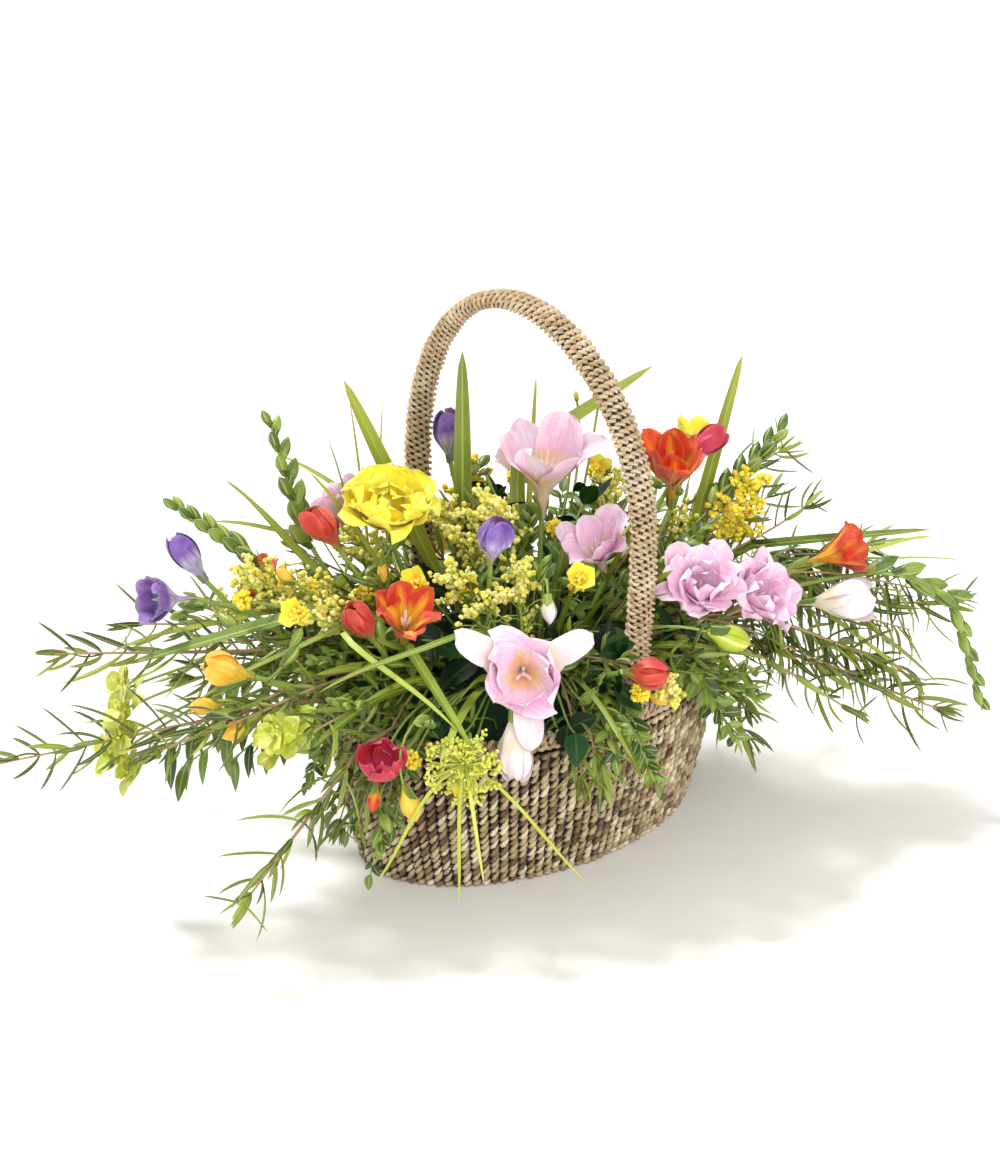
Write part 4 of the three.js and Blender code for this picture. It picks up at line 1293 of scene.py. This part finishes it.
def make_spill():
    """Sprays that come over the rim and hang down the side a little way."""
    ways = {"set_off": (0.7, 0.75), "arrive": (0.35, -0.8), "clear": True}
    needles = Piece("spilling_rosemary", "needle", "twig")
    for line, outward in grow(needles, SPILL_NEEDLES, (1.0, 0.4), material="twig", **ways):
        dress_sprig(needles, line.upper(0.3, 8), outward, 23 * MM)
    needles.make("rosemary")
    leaves = Piece("spilling_box_sprays", "box_leaf", "stem", "lime_leaf")
    for line, _ in grow(leaves, SPILL_LEAVES, (0.9, 0.4), **ways):
        dress_leafy(leaves, line.upper(0.3, 8), rng.uniform(11, 15) * MM, 11)
    leaves.make("leaf")


# Sprays of larger, darker leaves at both ends: tip, length of a leaf.
BROAD_SPRAYS = (
    (-180, 55, 66, 18), (-165, 35, 72, 17), (-155, 20, 86, 16), (-195, 45, 84, 17), (-150, -10, 100, 16),
    (150, -75, 100, 22), (170, -60, 112, 24), (-120, 100, 80, 22), (130, 70, 85, 24),
)


def make_broad_sprays():
    """Sprays of drooping oval leaves, larger than the box leaves."""
    piece = Piece("broad_leaf_sprays", "broad_leaf", "stem")
    ways = {"set_off": (1, 0.45), "arrive": (1, -0.5)}
    for line, _, leaf_length in grow(piece, BROAD_SPRAYS, (1.0, 0.5), **ways):
        upper = line.upper(0.55, 6)
        for i in range(9):
            spot, tangent = upper.at_share((i + 0.5) / 9)
            aside = np.cross(tangent, UP) * alternate(i)
            out = unit(aside + tangent * 0.9 - UP * 0.5 + any_direction() * 0.3)
            size = leaf_length * rng.uniform(0.8, 1.2) * MM
            leaf(piece, spot, out, UP, size, size * 0.16, "broad_leaf", curl=rng.uniform(0.3, 0.9),
                 rows=9, columns=5)
    piece.make("leaf")


FILL_PLUME_LENGTH = 30 * MM

# More goldenrod between the flowers: tip, and how wide the plume is.
FILL_PLUMES = (
    (-10, 10, 172, 13), (-75, -48, 152, 14), (-82, -50, 147, 12), (-22, 38, 168, 13), (-45, -40, 162, 11),
    (-12, -116, 106, 9), (-125, 18, 142, 13), (-72, -20, 160, 12), (-130, 85, 128, 11), (60, -70, 146, 10),
    (-112, 62, 138, 12), (-98, 45, 140, 11),
    (85, 20, 158, 12), (40, 75, 146, 12), (-40, 95, 138, 12), (120, -10, 138, 11), (-70, 60, 160, 12),
)


def make_fill_plumes():
    piece = Piece("filler_goldenrod", "goldenrod", "stem")
    for line, _, wide in grow(piece, FILL_PLUMES, (0.9, 0.5), 9):
        upper = line.upper(1 - FILL_PLUME_LENGTH / line.length, 5)
        dress_plume(piece, upper, wide * MM, branches=10, florets=15)
    piece.make("goldenrod")


# Dark ivy between the flowers, over the front and sides: where each shoot ends.
IVY_SHOOTS = (
    (-22, -84, 122), (26, -84, 122), (42, -82, 118), (-50, -90, 108), (-60, -94, 96), (-112, -54, 110),
    (-106, -66, 102), (-68, -90, 100), (-30, -90, 110), (-40, -56, 134), (-90, -20, 130), (-60, 10, 142),
    (56, -56, 128), (86, 30, 136), (30, 74, 136), (-50, 80, 128), (104, 64, 110), (-114, 56, 116),
    (2, 32, 176), (14, 44, 168), (24, 56, 160), (60, 12, 162),
)


def make_ivy():
    """Shoots of broad dark leaves that fill the gaps between the flowers with shade."""
    piece = Piece("ivy_shoots", "ivy_leaf", "stem")
    for line, outward in grow(piece, IVY_SHOOTS, (0.9, 0.5), 10, arrive=(1, 0.2), rise=0.02):
        for i in range(6):
            spot = line.point(line.length * (0.7 + 0.06 * i))
            out = unit(outward * 0.5 + UP * rng.uniform(-0.6, 0.5) + any_direction() * 0.9)
            size = rng.uniform(13, 19) * MM
            leaf(piece, spot, out, outward + UP * 0.6, size, size * rng.uniform(0.28, 0.38), "ivy_leaf",
                 curl=rng.uniform(0, 0.35), fullest=0.38, rows=8, columns=5)
    piece.make("leaf")


# Long sword leaves besides the CAD ones: a place near their root, their tip, their half-width.
FILL_BLADES = (
    ((-95, -45, 140), (-158, -22, 124), 2.3), ((-128, -16, 136), (-119, -76, 110), 2.2),
    ((-88, 68, 145), (-115, 95, 188), 2.6), ((-75, 85, 150), (-110, 115, 158), 2.4),
    ((150, -90, 128), (185, -112, 134), 2.4), ((-60, 40, 140), (-90, 62, 195), 2.6),
    ((60, 60, 140), (85, 80, 198), 2.6), ((20, 60, 130), (45, 105, 178), 2.6),
    ((110, 20, 130), (165, 60, 150), 2.6), ((-20, 70, 140), (-60, 120, 180), 2.6),
    ((-130, 60, 130), (-205, 75, 128), 2.2), ((-115, 10, 135), (-190, 30, 112), 2.0),
    ((135, -68, 110), (168, -132, 62), 2.4), ((128, -72, 106), (160, -134, 56), 2.2),
    ((165, -60, 116), (206, -92, 121), 1.8), ((175, -70, 112), (222, -106, 107), 1.3),
    ((-60, 50, 140), (-20, 110, 205), 1.5), ((-62, 52, 138), (-40, 105, 190), 1.7),
    ((-58, 48, 142), (-10, 95, 205), 1.2), ((-70, 60, 136), (-65, 120, 175), 1.8),
    ((-80, 60, 136), (-95, 120, 175), 1.8), ((30, -92, 112), (62, -106, 100), 3.0),
)


def make_fill_blades():
    """Sword leaves that rise out of the foam to their root place, then lean over to their tip."""
    piece = Piece("filler_blades", "grass")
    for root, tip, half in FILL_BLADES:
        start, end = mm(*root), mm(*tip)
        foot = from_foam(start * (0.75, 0.75, 0.9)).points[0]
        way = unit(end - start)
        rise = arc_line(foot, start - foot, start, way, steps=7)
        reach = arc_line(start, way, end, way - UP * 0.2, steps=6)
        sideways = np.cross(UP, way)
        sideways *= -np.sign(sideways[1])
        line = Line(np.concatenate([rise.points, reach.points[1:]]))
        blade(piece, line, UP + sideways * 0.8, half * 0.75 * MM, "grass")
    piece.make("leaf")


# Small half-open buds between the flowers: place, the way they point, length, material.
SMALL_BUDS = (
    ((-176, 26, 108), (-0.8, 0.3, 0.1), 17, "amber"), ((-168, 12, 102), (-0.8, 0.2, -0.2), 19, "amber"),
    ((-40, -55, 150), (-0.2, -0.3, -0.9), 15, "pale_pink"),
    ((24, -100, 125), (0.85, -0.3, -0.4), 27, "lime_leaf"),
    ((70, 35, 198), (-0.1, 0.1, 1.0), 6, "lime_leaf"), ((80, 30, 192), (0.3, 0.1, 1.0), 5, "lime_leaf"),
    ((62, 38, 190), (-0.4, 0.1, 1.0), 5, "lime_leaf"),
    ((-133, -53, 79), (0.2, -0.2, -0.9), 20, "amber"), ((-138, -40, 76), (-0.5, -0.3, -0.7), 13, "red"),
    ((-12, -94, 104), (0.5, -0.5, -0.6), 13, "amber"), ((-118, 40, 150), (-0.6, 0.3, 0.6), 12, "amber"),
    ((-70, 30, 152), (-0.3, -0.4, -0.6), 13, "amber"), ((150, -70, 122), (0.6, -0.5, 0.3), 12, "amber"),
)


def make_small_buds():
    piece = Piece("small_buds", "amber", "lime_leaf", "red", "pale_pink", "stem", "bud_green")
    for place, way, length, material in SMALL_BUDS:
        base, axis, tall = mm(*place), unit(np.array(way)), length * MM
        piece.stalk(from_foam(base, arrive=axis), (0.8, 0.7))
        closed_bud(piece, base, axis, tall, 0.24 * tall, material)
        sheath(piece, base, axis, 0.4 * tall, 0.14 * tall)
    piece.make("leaf")


# Small round yellow heads: where each of them sits.
BUTTONS = (
    (-85, 25, 140), (-78, -5, 150), (-95, 20, 128), (5, -15, 160), (110, -40, 135), (120, -25, 150),
    (-150, 40, 150), (-140, 10, 148), (-100, 50, 140), (-60, -20, 150), (-20, -55, 150),
    (-120, -45, 85), (-25, -102, 108), (-100, -62, 75), (60, 70, 150), (-20, 80, 150), (95, 45, 150),
)
LIME_STARS = (  # place, length of its bracts
    (-205, 72, 76, 14), (-200, 66, 68, 12), (-190, 80, 104, 12), (-155, -5, 96, 14), (-160, 5, 88, 11),
    (150, -90, 95, 10), (-205, 62, 104, 11), (-212, 56, 92, 12), (-172, -12, 104, 12),
)


BUTTON_FLORETS = 50
BUTTON_CAP = 1.7  # how much of a ball the florets cover, out of 2
STAR_BRACTS = 12
STAR_FLORETS = 14


def make_buttons():
    """Little yellow balls of florets on thin stems, every third with five petals round it."""
    piece = Piece("yellow_buttons", "button", "stem", "yellow")
    for number, (line, outward) in enumerate(grow(piece, BUTTONS, (0.7, 0.6), 9)):
        centre, way = line.at_share(1)
        axis = unit(way + UP * 0.4 + outward * 0.5)
        if number % 3 == 1:
            for i in range(5):
                out = spoke_of(axis, FULL_TURN * i / 5)
                leaf(piece, centre, out + axis * 0.8, axis, 11 * MM, 4.6 * MM, "yellow",
                     rows=7, columns=5, curl=-0.1, fullest=0.6)
        for i in range(BUTTON_FLORETS):
            tilt = math.acos(1 - BUTTON_CAP * (i + 0.5) / BUTTON_FLORETS)
            out = spoke_of(axis, SPIRAL_TURN * i + jitter(0.5))
            off = (axis * math.cos(tilt) + out * math.sin(tilt)) * rng.uniform(3.0, 4.4) * MM
            radius = rng.uniform(0.9, 1.3) * MM
            bead(piece, centre + off, radius, "button", 1.2, unit(off + any_direction() * MM))
    piece.make("goldenrod")


def make_lime_stars():
    """Lime bracts in loose rosettes, with a cluster of tiny florets inside each."""
    piece = Piece("lime_bracts", "lime_leaf", "dill", "stem")
    for line, outward, size in grow(piece, LIME_STARS, (0.9, 0.7)):
        centre = line.point(line.length)
        axis = unit(outward + UP * 0.5)
        for i in range(STAR_BRACTS):
            out = spoke_of(axis, SPIRAL_TURN * i) + axis * (0.05 + 0.09 * i)
            leaf(piece, centre + any_direction() * 3 * MM, out, axis, size * rng.uniform(0.8, 1.1) * MM,
                 0.4 * size * MM, "lime_leaf", curl=rng.uniform(-0.1, 0.35), rows=7, columns=5,
                 fullest=0.62, blunt=0.6)
        for _ in range(STAR_FLORETS):
            spot = centre + axis * 4 * MM + any_direction() * rng.uniform(0.5, 3.5) * MM
            bead(piece, spot, 1.1 * MM, "dill")
    piece.make("dill")


# ---- The basket ----

WEAVE_COLUMNS = 112
WEAVE_ROWS = 19
STITCH_STEEPNESS = 1.35
CORD_PITCH = 3.85 * MM
RIM_PITCH = 4.4 * MM
PLY = 1.05 * MM
HANDLE_LEAN = 8 * MM
HANDLE_DEEP = 5 * MM
ARCH_SPRING = 172 * MM
SIDE_FLARE = 7.4 * MM
STAKE_RADIUS = 2.2 * MM
COIL_PITCH = 3.7 * MM
COIL_RADIUS = 2.0 * MM
RIM_STEPS = 720
STITCH_DEPTH = 2.4 * MM
BASE_COIL = 1.6 * MM

side_high = np.array(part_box("basket_side")[1])
OVAL = side_high[0] - side_high[1]


def side_long(z):
    """Half-length of the CAD side's outer face at a height, from its widest and its floor."""
    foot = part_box("basket_base")[1][0] + SIDE_FLARE
    rise = np.clip(z / side_high[2], 0, 1)
    return foot + (side_high[0] - foot) * np.sin(rise * math.pi / 2)


def oval_point(turn, long, z):
    """Points round an oval whose short half-axis is OVAL less than its long one."""
    return np.stack([long * np.cos(turn), (long - OVAL) * np.sin(turn), z + 0 * turn], -1)


def even_turns(long, count):
    """Angles that split an oval into equal lengths."""
    fine = np.linspace(0, FULL_TURN, 2000)
    steps = np.linalg.norm(np.diff(oval_point(fine, long, 0), axis=0), axis=1)
    at = np.concatenate([[0], np.cumsum(steps)])
    return np.interp(np.linspace(0, at[-1], count, endpoint=False), at, fine)


def oval_ring(long, count, z):
    """Points evenly round an oval, and the ways along it and out of it at each."""
    ring = oval_point(even_turns(long, count), long, z)
    along = unit(np.roll(ring, -1, axis=0) - np.roll(ring, 1, axis=0))
    return ring, along, unit(np.cross(along, UP))


def strand_rings(middle, out, up, radius, sides=6, plies=0.0):
    """Rings of a strand from its middle line and two directions square to it.

    A strand with plies has two lobes, which wind once round it from end to end.
    """
    turn = np.arange(sides) / sides * FULL_TURN
    winding = np.linspace(0, FULL_TURN, len(middle))[:, None]
    reach = radius[:, None] * (1 + plies * np.cos(2 * turn + winding))
    return sheet(middle[:, None], (out[:, None], reach * np.cos(turn)), (up[:, None], reach * np.sin(turn)))


def make_weave():
    """The twined side: steep stitches of cord stacked in columns, one column to each stake."""
    piece = Piece("basket_side.weave", "weave", "stake")
    pitch = side_high[2] / WEAVE_ROWS
    s = np.linspace(-1, 1, 6)
    swell = np.sqrt(np.clip(1 - (0.97 * s) ** 4, 0, 1))
    for row in range(WEAVE_ROWS):
        end_row = row in (0, WEAVE_ROWS - 1)
        z = (row + 0.5) * pitch
        circle, tangent, out = oval_ring(side_long(z) - STITCH_DEPTH, WEAVE_COLUMNS, z)
        half = np.linalg.norm(circle[1] - circle[0]) * 0.38
        for k in range(WEAVE_COLUMNS):
            centre = circle[k] + UP * jitter(0.4 * MM) * (not end_row) + out[k] * jitter(0.5 * MM)
            radius = pitch * 0.34 * rng.uniform(0.75, 1.15)
            slant = tangent[k] + UP * (0.3 if end_row else STITCH_STEEPNESS + jitter(0.35))
            path = sheet(centre, (slant, half * s), (-out[k], STITCH_DEPTH * s**2))
            way = unit(slant - out[k] * (2 * s * STITCH_DEPTH / half)[:, None])
            side = unit(np.cross(way, UP))
            rings = strand_rings(path, side, np.cross(side, way), radius * swell, plies=0.2)
            piece.grid(rings[:, ::-1], rng.random(), "weave", wrap=True)
    heights = np.linspace(1 * MM, side_high[2] - MM, 7)
    for turn in even_turns(side_high[0] - 3.6 * MM, WEAVE_COLUMNS):
        stake = Line(oval_point(turn, side_long(heights) - 5 * MM, heights))
        piece.tube(stake, [STAKE_RADIUS, STAKE_RADIUS], 7, 5, "stake", EAST)
    piece.make("seagrass", "basket_side")


def wind_cord(piece, line, core_ways, wide, deep, turns, per_turn, twist_length, closed=False):
    """Winds a two-ply cord round a core; wide and deep are the half-sizes of what it fills.

    core_ways gives, for the line's tangents, the directions of the two half-sizes.
    """
    share = np.linspace(0, 1, int(turns * per_turn), endpoint=not closed)
    spot, tangent = line.at_share(share)
    one, two = core_ways(tangent)
    turn = share * turns * FULL_TURN
    ring_out = unit(sheet(0, (one, np.cos(turn) / wide), (two, np.sin(turn) / deep)))
    half_wide, half_deep = wide - 2 * PLY, deep - 2 * PLY
    middle = sheet(spot, (one, half_wide * np.cos(turn)), (two, half_deep * np.sin(turn)))
    step = np.gradient(middle, axis=0)
    way = unit(step)
    aside = unit(np.cross(way, ring_out))
    out = np.cross(aside, way)
    twist = np.cumsum(np.linalg.norm(step, axis=1)) / twist_length * FULL_TURN
    radius = PLY * (0.98 + 0.1 * np.sin(share * turns * 5.3))
    for k in range(2):
        angle = twist + math.pi * k
        path = sheet(middle, (out, PLY * np.cos(angle)), (aside, PLY * np.sin(angle)))
        piece.grid(strand_rings(path, out, aside, radius, sides=5), rng.random(), "cord", wrap=True)


def make_handle():
    """Seagrass cord wound close round the whole hoop."""
    low, high = map(np.array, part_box("handle_wrapping"))
    wide, deep = high[0], HANDLE_DEEP
    span, top = high[1:] - deep
    leg_z = np.linspace(low[2], ARCH_SPRING, 8)[:-1]
    foot_y = side_high[1] - 3.5 * MM
    leg_y = foot_y + (span - foot_y) * smooth(side_high[2], ARCH_SPRING, leg_z)
    angle = np.linspace(0, math.pi, 25)
    arch_y = span * np.cos(angle) + HANDLE_LEAN * np.sin(angle) ** 2
    arch_z = ARCH_SPRING + (top - ARCH_SPRING) * np.sin(angle)
    arch = np.column_stack([0 * angle, arch_y, arch_z])
    leg = np.column_stack([0 * leg_z, leg_y, leg_z])
    line = Line(np.concatenate([leg, arch, (leg * (1, -1, 1))[::-1]]))
    piece = Piece("handle_wrapping.cord", "cord", "stake")
    core = deep - 2 * PLY
    piece.tube(line, [core, core], 90, 12, "stake", EAST, (wide - 2 * PLY) / core)
    wind_cord(
        piece, line, lambda way: (EAST, np.cross(way, EAST)), wide, deep, line.length / CORD_PITCH,
        per_turn=36, twist_length=7 * MM,
    )
    piece.make("seagrass", "handle_wrapping")


def make_rim():
    """The border: the same cord wound round the top edge of the side."""
    low, high = map(np.array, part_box("basket_rim"))
    radius = (high[2] - low[2]) / 2
    circle, _, _ = oval_ring(high[0] - radius, RIM_STEPS, low[2] + radius)
    line = Line(np.concatenate([circle, circle[:1]]))
    piece = Piece("basket_rim.cord", "cord")
    wind_cord(
        piece, line, lambda way: (np.cross(way, UP), UP), radius, radius, round(line.length / RIM_PITCH),
        per_turn=20, twist_length=7.5 * MM, closed=True,
    )
    piece.make("seagrass", "basket_rim")


def make_base():
    """The underside: cord coiled flat in ovals from the middle outwards."""
    low, high = map(np.array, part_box("basket_base"))
    piece = Piece("basket_base.coil", "coil")
    long = high[0] - BASE_COIL
    while long > OVAL + 3 * MM:
        count = int(long / BASE_COIL)
        circle, _, out = oval_ring(long, count, (low[2] + high[2]) / 2)
        swell = 1 + 0.14 * np.sin(np.arange(count) * 2.1)
        rings = strand_rings(circle, out, np.tile(UP, (count, 1)), COIL_RADIUS * swell, sides=8)
        piece.grid(np.concatenate([rings, rings[:1]])[:, ::-1], rng.random(), "coil", wrap=True)
        long -= COIL_PITCH
    middle = Line([mm(-OVAL / MM - 2, 0, 2.5), mm(0, 0, 2.5), mm(OVAL / MM + 2, 0, 2.5)])
    piece.stalk(middle, (0.5, 2.0, 2.0, 0.5), 30, 8, "coil")
    piece.make("seagrass", "basket_base")


# ---- Studio ----

CAMERA_AZIMUTH = -44.0
CAMERA_ELEVATION = 22.5
CAMERA_DISTANCE = 1.6
CAMERA_LENS = 98.7
TARGET_HEIGHT = 0.13
TARGET_LEFT = 0.0135
TARGET_DOWN = 0.0025
KEY_FROM = (-0.05, 0.66, 1.0)
FILL_FROM = (-0.9, -1.7, 1.1)
FLOOR_HALF = 9.0


def aim(made, way):
    made.rotation_euler = Vector(way).to_track_quat("-Z", "Y").to_euler()


def make_camera():
    azimuth, elevation = math.radians(CAMERA_AZIMUTH), math.radians(CAMERA_ELEVATION)
    level = np.array([math.sin(azimuth), -math.cos(azimuth), 0])
    back = level * math.cos(elevation) + UP * math.sin(elevation)
    right = np.cross(UP, level)
    up = np.cross(back, right)
    data = bpy.data.cameras.new("camera")
    data.lens = CAMERA_LENS
    data.sensor_width = 36
    camera = put_in_scene("camera", data)
    camera.location = UP * TARGET_HEIGHT - right * TARGET_LEFT - up * TARGET_DOWN + back * CAMERA_DISTANCE
    aim(camera, -back)
    bpy.context.scene.camera = camera


def make_floor():
    shader = Shader("studio_floor", roughness=0.9)
    grain = shader.noise(shader.space(), 30.0, detail=3.0)
    mesh = bpy.data.meshes.new("studio_floor")
    corners = [(-FLOOR_HALF, -FLOOR_HALF, 0), (FLOOR_HALF, -FLOOR_HALF, 0),
               (FLOOR_HALF, FLOOR_HALF, 0), (-FLOOR_HALF, FLOOR_HALF, 0)]
    mesh.from_pydata(corners, [], [(0, 1, 2, 3)])
    mesh.materials.append(shader.colour(shader.ramp(grain, (0.0, srgb("f4f2ef")), (1.0, srgb("fbfaf8")))))
    floor = put_in_scene("studio_floor", mesh)
    floor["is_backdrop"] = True


def make_lights():
    world = bpy.data.worlds.new("studio")
    world.use_nodes = True
    sky = world.node_tree.nodes["Background"]
    sky.inputs["Color"].default_value = (1.0, 0.985, 0.955, 1)
    sky.inputs["Strength"].default_value = 0.7
    bpy.context.scene.world = world
    sun = bpy.data.lights.new("key", "SUN")
    sun.energy = 3.1
    sun.angle = math.radians(12)
    put_in_scene("key", sun).rotation_euler = Vector(KEY_FROM).to_track_quat("Z", "Y").to_euler()
    disk = bpy.data.lights.new("fill", "AREA")
    disk.shape = "DISK"
    disk.size = 1.6
    disk.energy = 26
    lamp = put_in_scene("fill", disk)
    lamp.location = FILL_FROM
    aim(lamp, UP * 0.1 - np.array(FILL_FROM))
    bpy.context.scene.view_settings.view_transform = "Standard"


# ---- Assembly ----

make_camera()
make_floor()
make_lights()

for node, spec in BLOOMS.items():
    make_bloom(node, *spec)
for node, (colour, openness) in BUDS.items():
    make_bud(node, colour, openness)
for node in SPRIGS:
    make_sprig(node)
for node in BLADES:
    make_blade(node)
for node, below in SPIKES.items():
    make_spike(node, below)
for node, material in PLUMES.items():
    make_plume(node, material)
for node in ("box_sprig_front", "box_sprig_front_right"):
    make_box_sprig(node)
make_dill("dill_umbel")
make_undergrowth()
make_dome()
make_fill_sprigs()
make_arching_sprays()
make_broad_sprays()
make_spill()
make_fill_plumes()
make_ivy()
make_fill_blades()
make_small_buds()
make_buttons()
make_lime_stars()
make_weave()
make_handle()
make_rim()
make_base()

for node in ("floral_foam", "plastic_liner", "handle_wire"):
    mesh = frame["nodes"][node].data
    mesh.materials.clear()
    mesh.materials.append(MATERIALS[node])

boxes = {"cad": cad_box, "visual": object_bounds()}
{name: [list(low), list(high)] for name, (low, high) in boxes.items()}
